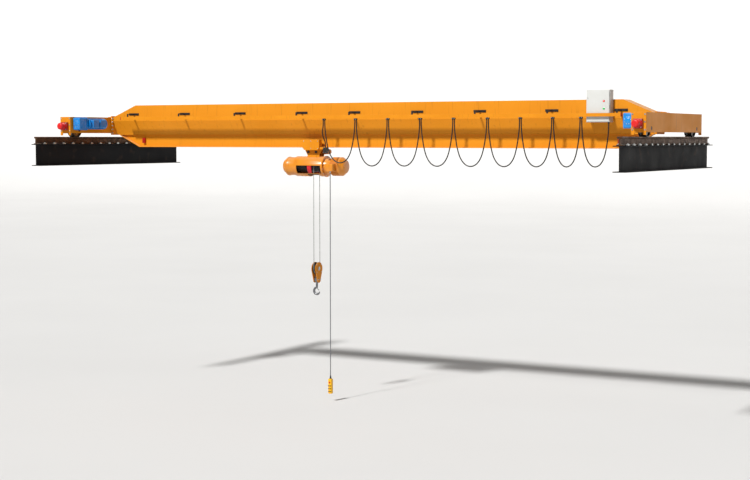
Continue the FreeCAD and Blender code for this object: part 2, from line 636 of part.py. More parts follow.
def tie_bolt(way):
    """A bolt through both side plates, with a round head on each."""
    centre = (f"trolley_place + bolt_place + {way} * bolt_pitch / 2", "bolt_rise")
    shank = rod("y", centre, "bolt_radius", (f"-{TROLLEY_SIDE}", TROLLEY_SIDE))
    heads = [rod("y", centre, "bolt_head", ends) for ends in (
        (TROLLEY_SIDE, f"{TROLLEY_SIDE} + bolt_head_depth"),
        (f"-{TROLLEY_SIDE} - bolt_head_depth", f"-{TROLLEY_SIDE}"))]
    return fuse(shank, *heads)


def trolley_cover():
    """A folded cover over the front wheels' gears, open to the plate, with its lower corners cut."""
    solids = []
    for inset in ("0", "cover_wall"):
        half, corner = f"side_plate_length / 2 - {inset}", "cover_corner"
        low, top = f"side_plate_waist + {inset}", f"side_plate_top - {inset}"
        outline = [
            (f"-({half}) + {corner}", low), (f"{half} - {corner}", low), (half, f"{low} + {corner}"),
            (half, top), (f"-({half})", top), (f"-({half})", f"{low} + {corner}"),
        ]
        back = f"-{TROLLEY_SIDE}" if inset == "0" else f"-{TROLLEY_SIDE} + past"
        ends = (f"-{TROLLEY_SIDE} - cover_depth + {inset}", back)
        solids.append(prism("XZ_Plane", outline, ends, ("trolley_place", "0", "0")))
    return cut(*solids)


def trolley_wheels(way):
    """The two wheels at one end of the trolley, one each side of the web, with their stub axles."""
    centre = (f"trolley_place + {way} * trolley_wheel_base / 2", trolley_wheel_rise())
    inner = "track_web / 2 + trolley_tread_inset"
    rim = "track_width / 2 + side_gap"
    spans = [
        ("trolley_wheel_radius", inner, rim),
        ("trolley_wheel_radius + trolley_rim", rim, f"{rim} + trolley_rim_width"),
        ("trolley_axle", rim, f"{TROLLEY_SIDE} + hub_depth"),
        ("hub_radius", f"{TROLLEY_SIDE} + 1", f"{TROLLEY_SIDE} + hub_depth"),
    ]
    wheels = []
    for out in (-1, 1):
        parts = []
        for radius, near, far in spans:
            ends = (near, far) if out > 0 else (f"-({far})", f"-({near})")
            parts.append(rod("y", centre, radius, ends))
        wheels.append(fuse(*parts))
    return group(wheels)


def hoist():
    """The rope hoist: reducer, shell, drum, rope guide, motor and terminal box on one axis."""
    axis = ("0", "0")
    left = "(trolley_place - shell_left)"
    right = f"({left} + shell_length)"
    tube = rod("x", axis, "shell_radius", (left, right))
    room = rod("x", axis, "shell_radius - shell_wall", (f"{left} + shell_end", f"{right} - shell_end"))
    bore = rod("x", axis, "drum_shaft + running_gap", (f"{left} - past", f"{right} + past"))
    window_left = "trolley_place - window_left"
    window = block((window_left, f"{window_left} + window_length"),
                   ("-shell_radius - past", "-drum_rim / 2"), ("window_foot - shell_radius", "window_top"))
    outlet = block(middle("trolley_place + rope_place", "2 * outlet_half"),
                   ("-outlet_reach", "outlet_reach"), ("-shell_radius - past", "outlet_top"))
    slot_y = ("0", "shell_radius + past")
    slots = [block(middle("trolley_place + rope_place", "slot_width"), slot_y, (low, high))
             for low, high in BACK_SLOTS]
    node("drum_shell", cut(tube, room, bore, window, outlet, *slots))

    drum_ends = (f"{left} + shell_end + drum_end_gap", f"{right} - shell_end - drum_end_gap")
    parts = [rod("x", axis, "drum_radius", drum_ends), rod("x", axis, "drum_shaft", (left, right))]
    parts.append(rod("x", axis, "drum_rim", (drum_ends[0], f"{drum_ends[0]} + drum_rim_width")))
    parts.append(rod("x", axis, "drum_rim", (f"{drum_ends[1]} - drum_rim_width", drum_ends[1])))
    node("rope_drum", fuse(*parts))

    guide = middle("trolley_place - guide_place", "guide_width")
    past_guide = (f"{guide[0]} - past", f"{guide[1]} + past")
    node("rope_guide", cut(rod("x", axis, "shell_radius - shell_wall - running_gap", guide),
                           rod("x", axis, "shell_radius - guide_inset", past_guide),
                           block(past_guide, ("-outlet_reach - guide_mouth", "outlet_reach + guide_mouth"),
                                 ("-shell_radius", "guide_mouth_top"))))

    body = f"{left} - reducer_length"
    node("hoist_gearbox", fuse(
        rod("x", axis, "reducer_radius", (body, left)),
        taper("x", axis, ("reducer_cap_radius", "reducer_radius - 12"), (f"{body} - reducer_cap", body))))

    neck = f"{right} + ring_width"
    barrel = f"{neck} + neck_length"
    end = f"{barrel} + hoist_motor_length"
    node("hoist_motor", fuse(
        rod("x", axis, "ring_radius", (right, neck)),
        rod("x", axis, "neck_radius", (neck, barrel)),
        rod("x", axis, "hoist_motor_radius", (barrel, end)),
        taper("x", axis, ("hoist_motor_radius", "motor_end_radius"), (end, f"{end} + motor_end"))))

    start = f"trolley_place + terminal_left"
    box = block((start, f"{start} + terminal_length"), ("-terminal_front", "-terminal_back"),
                ("terminal_top - terminal_height", "terminal_top"))
    base = "terminal_top - terminal_height"
    gland = rod("z", ("trolley_place + pendant_place", "-pendant_front"), "gland_radius",
                (f"{base} - gland_length", base))
    hollowed = cut(box, rod("x", axis, "neck_radius + running_gap", (neck, barrel)),
                   rod("x", axis, "hoist_motor_radius + running_gap", (barrel, end)))
    node("terminal_box", fuse(hollowed, gland))

    rope_x = "trolley_place + rope_place"
    node("rope_anchor", block(middle(rope_x, "2 * outlet_half"), middle("-rope_reach", "anchor_size"),
                              middle(ANCHOR_RISE, "anchor_size")))


def hook_block():
    """The lower block: two cheek plates with a pin, the sheave, the crosshead and the hook."""
    spot = "(trolley_place + rope_place)"
    centre = ("0", "sheave_rise")
    inner = "(sheave_width / 2 + block_gap)"
    foot = "sheave_rise - block_foot_drop"
    cheeks = []
    for out in (-1, 1):
        plate = middle(f"{spot} + {out} * ({inner} + block_plate / 2)", "block_plate")
        disc = rod("x", centre, "block_radius", plate)
        lobe = rod("x", ("0", foot), "block_foot", plate)
        neck = prism("YZ_Plane", [("-block_radius * 0.9", "sheave_rise - block_radius * 0.42"),
                                  ("-block_foot", foot), ("block_foot", foot),
                                  ("block_radius * 0.9", "sheave_rise - block_radius * 0.42")], plate)
        cheeks.append(fuse(disc, lobe, neck))
    pin = rod("x", centre, "sheave_pin", middle(spot, f"2 * {inner} + 2 * block_plate + 2 * pin_proud"))
    node("block_cheeks", fuse(*cheeks, pin))
    wheel = rod("x", centre, "sheave_radius", middle(spot, "sheave_width"))
    groove = doc.addObject("Part::Torus", "Groove")
    groove.setExpression("Radius1", bound("rope_reach"))
    groove.setExpression("Radius2", bound("rope_radius + 1"))
    turned(groove, "x")
    place(groove, spot, "0", "sheave_rise")
    rim_slot = cut(rod("x", centre, "sheave_radius + 10", middle(spot, "2 * rope_radius + 2")),
                   rod("x", centre, "rope_reach", middle(spot, "2 * rope_radius + 12")))
    node("sheave", cut(wheel, groove, rim_slot,
                       rod("x", centre, "sheave_pin + running_gap", middle(spot, "sheave_width + 4 * past"))))
    head = block(middle(spot, f"2 * {inner}"), middle("0", "crosshead_depth"),
                 middle(foot, "crosshead_height"))
    bore = rod("z", (spot, "0"), "shank_radius + running_gap",
               (f"{foot} - crosshead_height", f"{foot} + crosshead_height"))
    node("crosshead", cut(head, bore))
    hook(spot, foot)


def hook(spot, foot):
    """The swivelling hook: a nut and shank in the crosshead and a bow open to one side."""
    top = f"{foot} + crosshead_height / 2"
    low = f"{foot} - crosshead_height / 2"
    bow_z = f"({low} - hook_drop + hook_bow)"
    shank = rod("z", (spot, "0"), "shank_radius",
                (f"{bow_z} + hook_bow", f"{top} + running_gap + nut_height"))
    nut = rod("z", (spot, "0"), "nut_radius", (f"{top} + running_gap", f"{top} + running_gap + nut_height"))
    collar = rod("z", (spot, "0"), "shank_radius + collar_rim",
                 (f"{low} - collar_gap - collar_height", f"{low} - collar_gap"))
    bow = doc.addObject("Part::Torus", "Bow")
    bow.setExpression("Radius1", bound("hook_bow"))
    bow.setExpression("Radius2", bound("hook_thickness"))
    bow.Placement.Rotation = FreeCAD.Rotation(Vector(1, 0, 0), 90)
    place(bow, spot, "0", bow_z)
    mouth = block((spot, f"{spot} + 2 * hook_bow"), ("-hook_thickness - past", "hook_thickness + past"),
                  (f"{bow_z} + hook_bow * 0.25", f"{bow_z} + 2 * hook_bow"))
    solid = fuse(shank, nut, collar, cut(bow, mouth))
    node("hook", solid)


def ropes():
    """The rope: down from the drum's back, round under the sheave and up to the anchor."""
    spot = value("trolley_place + rope_place")
    reach, low = value("rope_reach"), value("sheave_rise")
    back_top = Vector(spot, reach, 0)
    front_top = Vector(spot, -reach, value(f"{ANCHOR_RISE} - anchor_size / 2"))
    edges = [Part.LineSegment(back_top, Vector(spot, reach, low)).toShape(),
             Part.Arc(Vector(spot, reach, low), Vector(spot, 0, low - reach),
                      Vector(spot, -reach, low)).toShape(),
             Part.LineSegment(Vector(spot, -reach, low), front_top).toShape()]
    start = Part.Circle(back_top, edges[0].tangentAt(0), value("rope_radius")).toShape()
    solid = Part.Wire(edges).makePipeShell([Part.Wire(start)], True, True)
    feature("rope_falls", solid)


def feature(name, shape):
    """A sub-part whose shape is set by Part's own functions."""
    made = doc.addObject("Part::Feature", "Shape")
    made.Shape = shape
    return node(name, made)


def tube(name, points, diameter):
    """A round tube along straight runs joined by tangent arcs, as large as the runs allow."""
    spots = [Vector(*p) for p in points]
    edges, at, tightest = [], spots[0], 1e9
    for before, here, after in zip(spots, spots[1:], spots[2:]):
        into, out = (here - before), (after - here)
        turn = into.getAngle(out)
        reach = 0.45 * min(into.Length, out.Length)
        tightest = min(tightest, reach / math.tan(turn / 2))
        start = here - into.normalize() * reach
        stop = here + out.normalize() * reach
        bisector = (start + stop) * 0.5 - here
        radius = reach / math.tan(turn / 2)
        centre = here + bisector.normalize() * (radius / math.cos(turn / 2))
        halfway = centre + (here - centre).normalize() * radius
        edges.append(Part.LineSegment(at, start).toShape())
        edges.append(Part.Arc(start, halfway, stop).toShape())
        at = stop
    edges.append(Part.LineSegment(at, spots[-1]).toShape())
    path = Part.Wire(edges)
    ring = Part.Circle(spots[0], spots[1] - spots[0], diameter / 2).toShape()
    solid = path.makePipeShell([Part.Wire(ring)], True, True)
    section = math.pi * diameter ** 2 / 4
    share = solid.Volume / (section * path.Length)
    print(f"{name}: length {path.Length:.0f}, tightest radius {tightest:.0f}, volume share {share:.4f}")
    return solid


def festoon_cable():
    """The cable's hanging loops between carriers, the last into the cabinet, and the drop."""
    half, clamp = value("cable_half_pitch"), value(f"{FESTOON_BASE} - side_gap - clamp_height")
    front, thick = -value("festoon_front"), value("cable_diameter")
    places = [value(carrier_place(share)) for share in CARRIER_SHARES]
    stops = [(spot - half, front, clamp) for spot in places[1:]]
    stops.append((value(CABLE_END), -value("cable_end_front"), value(f"{CABINET_BASE} - cable_gland")))
    loops = []
    for index, (spot, stop, low) in enumerate(zip(places, stops, LOOP_BOTTOMS), start=1):
        start = (spot + half, front, clamp)
        points = []
        for across, up in LOOP_ROUTE:
            top = start[2] if across < 0.5 else stop[2]
            points.append((start[0] + (stop[0] - start[0]) * across,
                           start[1] + (stop[1] - start[1]) * across, low + (top - low) * up))
        loops.append(tube(f"loop {index}", points, thick))
    feature("festoon_loops", Part.makeCompound(loops))
    feature("festoon_drop", tube("drop", DROP_ROUTE, thick))


def pendant():
    """The pendant cable straight down from the terminal box, and the push-button station on it."""
    start = f"trolley_place + pendant_place"
    base = "terminal_top - terminal_height"
    spot = (start, "-pendant_front")
    node("pendant_cable", rod("z", spot, "pendant_diameter / 2",
                              (f"{base} - gland_length - pendant_drop", f"{base} - gland_length")))
    top = f"{base} - gland_length - pendant_drop"
    node("pendant_station", block(middle(start, "station_width"), middle("-pendant_front", "station_depth"),
                                  (f"{top} - station_height", top)))


runway()
end_trucks()
crane_wheels()
travel_drives()
girder()
festoon_track()
cabinet()
trolley()
hoist()
hook_block()
ropes()
festoon_cable()
pendant()
doc.recompute()

for thing in doc.Objects:
    if {"Invalid", "Error"} & set(thing.State):
        raise RuntimeError(f"{thing.Name} ({thing.Label}) didn't recompute: {thing.State}")
os.makedirs("parts", exist_ok=True)
for thing in NODES:
    if thing.Shape.isNull() or not thing.Shape.isValid():
        raise RuntimeError(f"{thing.Label} has no valid shape")
    thing.Shape.exportStep(os.path.join("parts", f"{thing.Label}.step"))
print(f"{len(NODES)} sub-parts written")
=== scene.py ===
"""Looks of a single-girder overhead crane: its finishes, cables, rope and small fittings.

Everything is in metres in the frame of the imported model: X runs along the girder, Y along the rails
and Z up. Each sub-assembly is a class; each finish is a frozen dataclass.
"""

import logging
import math
from dataclasses import dataclass, field
from enum import Enum

import bpy
import numpy as np
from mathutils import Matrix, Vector


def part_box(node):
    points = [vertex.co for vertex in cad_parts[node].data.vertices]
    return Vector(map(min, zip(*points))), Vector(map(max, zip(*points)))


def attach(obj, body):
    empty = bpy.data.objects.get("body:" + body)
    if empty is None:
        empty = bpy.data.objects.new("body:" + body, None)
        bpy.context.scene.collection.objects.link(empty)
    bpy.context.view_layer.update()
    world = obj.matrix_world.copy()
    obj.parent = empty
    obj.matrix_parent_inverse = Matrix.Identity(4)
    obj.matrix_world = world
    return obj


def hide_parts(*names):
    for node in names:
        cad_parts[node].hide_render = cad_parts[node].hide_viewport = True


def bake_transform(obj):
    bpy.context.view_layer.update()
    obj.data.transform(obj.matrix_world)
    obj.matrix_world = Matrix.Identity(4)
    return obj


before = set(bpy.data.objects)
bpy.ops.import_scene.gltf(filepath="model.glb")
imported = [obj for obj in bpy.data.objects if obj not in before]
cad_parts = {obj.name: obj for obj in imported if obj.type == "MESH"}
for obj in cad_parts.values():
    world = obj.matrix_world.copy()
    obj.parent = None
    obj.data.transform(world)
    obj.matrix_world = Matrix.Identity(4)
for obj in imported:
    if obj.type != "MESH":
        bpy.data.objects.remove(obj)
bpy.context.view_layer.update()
log = logging.getLogger("crane")
MM = 0.001
GLAND_INSET = 0.035
GLAND_Y = -0.38


class Axis(Enum):
    """The three axes of the frame."""

    X = 0
    Y = 1
    Z = 2


class Side(Enum):
    """The two rails, with the sign of the direction from each rail towards the middle of the span."""

    LEFT = 1
    RIGHT = -1


class Fill(Enum):
    """How the first and last rows of a surface are finished."""

    OPEN = 0
    CAPPED = 1
    LOOPED = 2


# ---------------------------------------------------------------- surfaces


@dataclass
class Skin:
    """A surface before it becomes a mesh: points, faces by number of corners, and UVs by corner."""

    points: np.ndarray
    faces: list[np.ndarray]
    uvs: list[np.ndarray]

    def joined(self, *others: "Skin") -> "Skin":
        """Put several surfaces into one.

        Args:
            others: the surfaces that follow this one.
        Returns:
            One surface with all their points and faces.
        """
        points, faces, uvs, start = [], [], [], 0
        for skin in (self, *others):
            points.append(skin.points)
            faces += [face + start for face in skin.faces]
            uvs += skin.uvs
            start += len(skin.points)
        return Skin(np.concatenate(points), faces, uvs)

    def repeated(self, places: np.ndarray) -> "Skin":
        """Copy the surface to many places: every point plus every place.

        Args:
            places: one row of X, Y, Z per copy.
        Returns:
            One surface that holds all the copies.
        """
        places = np.atleast_2d(places)
        points = (places[:, None, :] + self.points[None]).reshape(-1, 3)
        starts = (np.arange(len(places)) * len(self.points))[:, None, None]
        faces = [(face[None] + starts).reshape(-1, face.shape[1]) for face in self.faces]
        uvs = [np.tile(uv, (len(places), 1, 1)) for uv in self.uvs]
        return Skin(points, faces, uvs)

    def outward(self) -> "Skin":
        """Turn the faces round if the signed volume of the surface is negative.

        Returns:
            The surface itself, with its faces pointing out.
        """
        volume = 0.0
        for face in self.faces:
            corner = self.points[face]
            for step in range(1, face.shape[1] - 1):
                volume += np.einsum("ij,ij->", corner[:, 0], np.cross(corner[:, step], corner[:, step + 1]))
        if volume < 0:
            self.faces = [face[:, ::-1] for face in self.faces]
            self.uvs = [uv[:, ::-1] for uv in self.uvs]
        return self

    def mesh(self, name: str) -> bpy.types.Mesh:
        """Write the arrays into a Blender mesh.

        Args:
            name: the mesh's name.
        Returns:
            The mesh, with a UV map.
        """
        data = bpy.data.meshes.new(name)
        corners = np.concatenate([face.ravel() for face in self.faces])
        sizes = np.concatenate([np.full(len(face), face.shape[1]) for face in self.faces])
        data.vertices.add(len(self.points))
        data.vertices.foreach_set("co", self.points.astype(np.float32).ravel())
        data.loops.add(len(corners))
        data.loops.foreach_set("vertex_index", corners.astype(np.int32))
        data.polygons.add(len(sizes))
        data.polygons.foreach_set("loop_start", (np.cumsum(sizes) - sizes).astype(np.int32))
        layer = data.uv_layers.new(name="UVMap")
        layer.data.foreach_set("uv", np.concatenate([uv.reshape(-1, 2) for uv in self.uvs]).ravel())
        data.update(calc_edges=True)
        data.validate()
        return data


def woven(grid: np.ndarray, fill: Fill = Fill.CAPPED, around: bool = True) -> Skin:
    """Cover a grid of points with four-cornered faces.

    Args:
        grid: points by row, column and coordinate.
        fill: whether the first and last rows stay open, are capped or join each other.
        around: whether the last column joins the first.
    Returns:
        The surface. Its UVs run from 0 to 1 along the rows and along the columns.
    """
    rows, columns = grid.shape[:2]
    row_faces = rows if fill is Fill.LOOPED else rows - 1
    column_faces = columns if around else columns - 1
    i, j = (a.ravel() for a in np.meshgrid(np.arange(row_faces), np.arange(column_faces), indexing="ij"))
    corners = ((0, 0), (1, 0), (1, 1), (0, 1))
    quads = np.stack([((i + a) % rows) * columns + (j + b) % columns for a, b in corners], 1)
    uv = np.stack([np.stack([(i + a) / row_faces, (j + b) / column_faces], 1) for a, b in corners], 1)
    faces, uvs = [quads], [uv]
    if fill is Fill.CAPPED:
        ring = np.arange(columns)
        faces += [ring[None], ((rows - 1) * columns + ring)[None, ::-1]]
        turn = 2 * np.pi * ring / columns
        disc = 0.5 + 0.5 * np.stack([np.cos(turn), np.sin(turn)], 1)
        uvs += [disc[None], disc[None, ::-1]]
    skin = Skin(grid.reshape(-1, 3), faces, uvs)
    return skin.outward() if fill is not Fill.OPEN else skin


def revolved(profile: list[tuple[float, float]], axis: Axis, centre: tuple[float, float, float],
             count: int = 64, fill: Fill = Fill.CAPPED, flutes: int = 0, depth: float = 0.0) -> Skin:
    """Turn a profile about an axis: point (s, a) lies at height h(s), radius r(s) and angle a.

    With flutes the radius is r(s) less depth where the cosine of flutes times the angle is negative.

    Args:
        profile: heights along the axis and radii.
        axis: the axis of the frame that it turns about.
        centre: a point on the axis, from which heights count.
        count: steps round the axis.
        fill: how the profile's two ends are finished.
        flutes: number of grooves round the piece.
        depth: depth of each groove.
    Returns:
        The turned surface.
    """
    shape = np.array(profile, float)
    turn = np.linspace(0, 2 * np.pi, count, endpoint=False)
    radius = shape[:, 1][:, None] - depth * (np.cos(flutes * turn + 0.5) < 0)[None] * (flutes > 0)
    grid = np.zeros((len(shape), count, 3))
    one, two = (axis.value + 1) % 3, (axis.value + 2) % 3
    grid[..., axis.value] = shape[:, 0][:, None]
    grid[..., one] = radius * np.cos(turn)
    grid[..., two] = radius * np.sin(turn)
    return woven(grid + np.array(centre), fill)


def swept(path: np.ndarray, ring: np.ndarray, across: tuple[float, float, float],
          fill: Fill = Fill.CAPPED) -> Skin:
    """Carry a ring along a path: P(s, a) = path(s) + x(s, a) side(s) + y(s, a) rise(s).

    Side is the path's direction crossed with a fixed direction, and rise completes the frame.

    Args:
        path: the points of the path.
        ring: the ring's x and y, either one ring for the whole path or one for each of its points.
        across: a fixed direction that the path never runs along.
        fill: how the path's two ends are finished.
    Returns:
        The swept surface.
    """
    if fill is Fill.LOOPED:
        along = np.roll(path, -1, 0) - np.roll(path, 1, 0)
    else:
        along = np.gradient(path, axis=0)
    along /= np.linalg.norm(along, axis=1)[:, None]
    side = np.cross(along, np.array(across, float))
    side /= np.linalg.norm(side, axis=1)[:, None]
    rise = np.cross(side, along)
    rings = np.broadcast_to(ring, (len(path), *ring.shape[-2:]))
    grid = path[:, None] + rings[..., :1] * side[:, None] + rings[..., 1:] * rise[:, None]
    return woven(grid, fill)


def circle(radius: float, count: int = 12) -> np.ndarray:
    """Points of a circle about the origin: radius times cosine and sine of equal steps."""
    turn = np.linspace(0, 2 * np.pi, count, endpoint=False)
    return radius * np.stack([np.cos(turn), np.sin(turn)], 1)


def cushioned(low: tuple[float, float, float], high: tuple[float, float, float], fillet: float,
              axis: Axis = Axis.Z, steps: int = 4) -> Skin:
    """A block with rounded edges.

    Each corner is a ball of the fillet's radius, and every section is four arcs about the same
    centres, of radius fillet times the sine of how far the section has come round the edge.

    Args:
        low: the lowest corner.
        high: the highest corner.
        fillet: radius of the edges.
        axis: the direction that its sections are stacked in.
        steps: faces round each edge.
    Returns:
        The closed surface.
    """
    low, high = np.array(low, float), np.array(high, float)
    one, two = (axis.value + 1) % 3, (axis.value + 2) % 3
    middle, half = (low + high) / 2, (high - low) / 2 - fillet
    turn = np.linspace(0, np.pi / 2, steps + 1)
    corner = np.repeat(np.array([(1, 1), (-1, 1), (-1, -1), (1, -1)], float), steps + 1, 0)
    angle = np.concatenate([turn + quarter * np.pi / 2 for quarter in range(4)])
    rise = np.concatenate([-half[axis.value] - fillet * np.cos(turn),
                           half[axis.value] + fillet * np.cos(turn[::-1])])
    reach = fillet * np.concatenate([np.sin(turn), np.sin(turn[::-1])]) + 1e-6
    grid = np.zeros((len(rise), len(angle), 3))
    grid[..., axis.value] = rise[:, None]
    grid[..., one] = corner[:, 0] * half[one] + reach[:, None] * np.cos(angle)
    grid[..., two] = corner[:, 1] * half[two] + reach[:, None] * np.sin(angle)
    return woven(grid + middle)


def bolt(axis: Axis, way: int, across: float, height: float) -> Skin:
    """A hexagon head on a washer, standing on the origin: a six-sided turned profile over a round one.

    Args:
        axis: the direction it points along.
        way: 1 or -1, towards the axis's high or low end.
        across: width over the corners.
        height: height of the head.
    Returns:
        The head and its washer.
    """
    radius, washer = across / 2, 0.18 * height
    plate = [(0, radius * 1.35), (way * washer, radius * 1.3)]
    head = [(way * washer, radius), (way * height * 0.85, radius), (way * height, radius * 0.82)]
    return revolved(head, axis, (0, 0, 0), 6).joined(revolved(plate, axis, (0, 0, 0), 14))


def weld(path: np.ndarray, size: float, across: tuple[float, float, float]) -> Skin:
    """A weld bead: a six-sided tube whose radius ripples by a sixth once every six sizes.

    Args:
        path: the two or more corners that the bead runs through.
        size: the bead's radius.
        across: a fixed direction that the bead never runs along.
    Returns:
        The bead's surface.
    """
    legs = np.linalg.norm(np.diff(path, axis=0), axis=1)
    at = np.concatenate([[0], np.cumsum(legs)])
    spots = np.arange(0, at[-1], 3 * size)
    line = np.stack([np.interp(spots, at, path[:, k]) for k in range(3)], 1)
    ripple = size * (1 + np.cos(np.pi * np.arange(len(line))) / 6)
    return swept(line, circle(1.0, 6)[None] * ripple[:, None, None], across)


# ---------------------------------------------------------------- finishes


def linear(code: str) -> tuple[float, float, float, float]:
    """Turn an sRGB hex colour into linear light.

    Args:
        code: six hex digits.
    Returns:
        Red, green and blue in linear light, and an alpha of 1.
    """
    shares = [int(code[at:at + 2], 16) / 255 for at in (0, 2, 4)]
    return (*[c / 12.92 if c <= 0.04045 else ((c + 0.055) / 1.055) ** 2.4 for c in shares], 1.0)


def add_node(tree: bpy.types.NodeTree, kind: str, settings: dict | None = None,
             links: dict | None = None) -> bpy.types.Node:
    """Add one shader node with its settings and links.

    Args:
        tree: the material's node tree.
        kind: the node's type.
        settings: values by property name, or by input name or number.
        links: output sockets by input name or number.
    Returns:
        The node.
    """
    node = tree.nodes.new(kind)
    for key, setting in (settings or {}).items():
        if isinstance(key, str) and hasattr(node, key):
            setattr(node, key, setting)
        else:
            node.inputs[key].default_value = setting
    for key, socket in (links or {}).items():
        tree.links.new(node.inputs[key], socket)
    return node


@dataclass
class Coat:
    """The sockets that a finish works on while its nodes are laid."""

    tree: bpy.types.NodeTree
    place: bpy.types.NodeSocket
    colour: bpy.types.NodeSocket
    rough: bpy.types.NodeSocket
    height: bpy.types.NodeSocket

    def noise(self, size_mm: float, detail: float = 3.0,
              stretch: tuple[float, float, float] = (1, 1, 1)) -> bpy.types.NodeSocket:
        """Noise whose blobs are about size_mm across, times the stretch along each axis.

        Args:
            size_mm: size of a blob.
            detail: octaves of finer noise.
            stretch: how many times longer a blob is along X, Y and Z.
        Returns:
            The noise value's socket.
        """
        scale = [1 / (size_mm * MM * share) for share in stretch]
        mapped = add_node(self.tree, "ShaderNodeMapping", {"Scale": scale}, {"Vector": self.place})
        return add_node(self.tree, "ShaderNodeTexNoise", {"Scale": 1.0, "Detail": detail},
                        {"Vector": mapped.outputs[0]}).outputs["Fac"]

    def ranged(self, socket: bpy.types.NodeSocket, source: tuple[float, float],
               target: tuple[float, float]) -> bpy.types.NodeSocket:
        """Map a value from one range to another and hold it there.

        Args:
            socket: the value.
            source: the range it comes from.
            target: the range it goes to.
        Returns:
            The mapped value's socket.
        """
        names = ("From Min", "From Max", "To Min", "To Max")
        return add_node(self.tree, "ShaderNodeMapRange", dict(zip(names, (*source, *target))),
                        {"Value": socket}).outputs[0]

    def combined(self, operation: str, one: bpy.types.NodeSocket,
                 two: bpy.types.NodeSocket | float) -> bpy.types.NodeSocket:
        """Do one sum on two values.

        Args:
            operation: the Math node's operation.
            one: the first value.
            two: the second value, a socket or a number.
        Returns:
            The result's socket.
        """
        fixed = isinstance(two, (int, float))
        return add_node(self.tree, "ShaderNodeMath", {"operation": operation, **({1: two} if fixed else {})},
                        {0: one, **({} if fixed else {1: two})}).outputs[0]

    def tint(self, amount: bpy.types.NodeSocket, code: str) -> None:
        """Mix a colour into the coat by an amount from 0 to 1."""
        self.colour = add_node(self.tree, "ShaderNodeMix", {"data_type": "RGBA", 7: linear(code)},
                               {0: amount, 6: self.colour}).outputs[2]

    def facing(self, axis: Axis) -> bpy.types.NodeSocket:
        """How far the surface faces an axis, from -1 to 1."""
        normal = add_node(self.tree, "ShaderNodeNewGeometry").outputs["Normal"]
        return add_node(self.tree, "ShaderNodeSeparateXYZ", links={0: normal}).outputs[axis.value]


@dataclass(frozen=True)
class Finish:
    """What every finish has: two tones in broad blotches, a fine relief and a gloss that varies.

    The blotch and grain sizes are in millimetres on the real thing; relief is the depth of the grain.
    """

    name: str
    colour: str
    tone: str
    blotch_mm: float = 300.0
    grain_mm: float = 4.0
    relief_mm: float = 0.1
    roughness: float = 0.4
    spread: float = 0.08
    metallic: float = 0.0
    clear_coat: float = 0.0
    specular: float = 0.5
    follows_uv: bool = False

    def material(self) -> bpy.types.Material:
        """Build the material once and hand it out again afterwards.

        Returns:
            The material of this name.
        """
        made = bpy.data.materials.get(self.name)
        if made:
            return made
        made = bpy.data.materials.new(self.name)
        made.use_nodes = True
        tree = made.node_tree
        tree.nodes.clear()
        source = add_node(tree, "ShaderNodeTexCoord")
        place = source.outputs["UV" if self.follows_uv else "Object"]
        base = add_node(tree, "ShaderNodeRGB")
        base.outputs[0].default_value = linear(self.colour)
        coat = Coat(tree, place, base.outputs[0], None, None)
        broad, fine = coat.noise(self.blotch_mm, 4.0), coat.noise(self.grain_mm, 3.0)
        coat.tint(coat.ranged(broad, (0.35, 0.7), (0.0, 1.0)), self.tone)
        gloss = (self.roughness - self.spread, self.roughness + self.spread)
        coat.rough = coat.ranged(broad, (0.3, 0.7), gloss)
        coat.height = fine
        self.dress(coat)
        relief = add_node(tree, "ShaderNodeBump", {"Strength": 1.0, "Distance": self.relief_mm * MM},
                          {"Height": coat.height})
        shader = add_node(tree, "ShaderNodeBsdfPrincipled",
                          {"Metallic": self.metallic, "Coat Weight": self.clear_coat, "Coat Roughness": 0.12,
                           "Specular IOR Level": self.specular},
                          {"Base Color": coat.colour, "Roughness": coat.rough, "Normal": relief.outputs[0]})
        add_node(tree, "ShaderNodeOutputMaterial", links={"Surface": shader.outputs[0]})
        made.diffuse_color = linear(self.colour)
        return made

    def dress(self, coat: Coat) -> None:
        """Add what only this finish has; the plain one adds nothing."""


@dataclass(frozen=True)
class AlkydEnamel(Finish):
    """Brushed and sprayed shop enamel on steel: faint runs down its sides, and on its tops a pale colour that
    is part dust, part painted highlight.
    """

    # Colour laid on upward faces: dust, and a painted highlight on the tops.
    dust_and_top_highlight: str = "F6D3AE"
    grime: str = "6A3C12"
    run_mm: float = 45.0

    def dress(self, coat: Coat) -> None:
        """Lay a pale colour on faces that look up, part dust and part painted highlight, and thin brown runs
        down faces that stand.
        """
        # Painted highlight and dust: faces that look up are tinted pale.
        up = coat.ranged(coat.facing(Axis.Z), (0.55, 0.95), (0.0, 0.6))
        coat.tint(coat.combined("MULTIPLY", up, coat.noise(160, 5.0)), self.dust_and_top_highlight)
        runs = coat.ranged(coat.noise(self.run_mm, 3.0, (1, 1, 14)), (0.6, 0.78), (0.0, 0.3))
        coat.tint(runs, self.grime)
        wear = coat.ranged(coat.noise(700, 8.0), (0.6, 0.75), (0.0, 0.12))
        coat.rough = coat.combined("ADD", coat.rough, wear)


@dataclass(frozen=True)
class PlateEnamel(AlkydEnamel):
    """Enamel over long welded plates: butt welds show as low ridges, and the skin swells between them."""

    plate_mm: float = 2100.0
    seam_mm: float = 14.0

    def dress(self, coat: Coat) -> None:
        """Add the enamel's marks, then a ridge across the girder at every plate's end."""
        super().dress(coat)
        along = add_node(coat.tree, "ShaderNodeSeparateXYZ", links={0: coat.place}).outputs[0]
        half = self.plate_mm * MM / 2
        away = coat.combined("PINGPONG", along, half)
        seam = coat.ranged(away, (0.0, self.seam_mm * MM / 2), (1.0, 0.0))
        coat.tint(coat.ranged(seam, (0.0, 1.0), (0.0, 0.22)), self.grime)
        swell = coat.ranged(coat.noise(900, 1.0), (0.2, 0.8), (0.0, 14.0))
        ridge = coat.combined("MULTIPLY", seam, 9.0)
        coat.height = coat.combined("ADD", coat.combined("ADD", coat.height, ridge), swell)


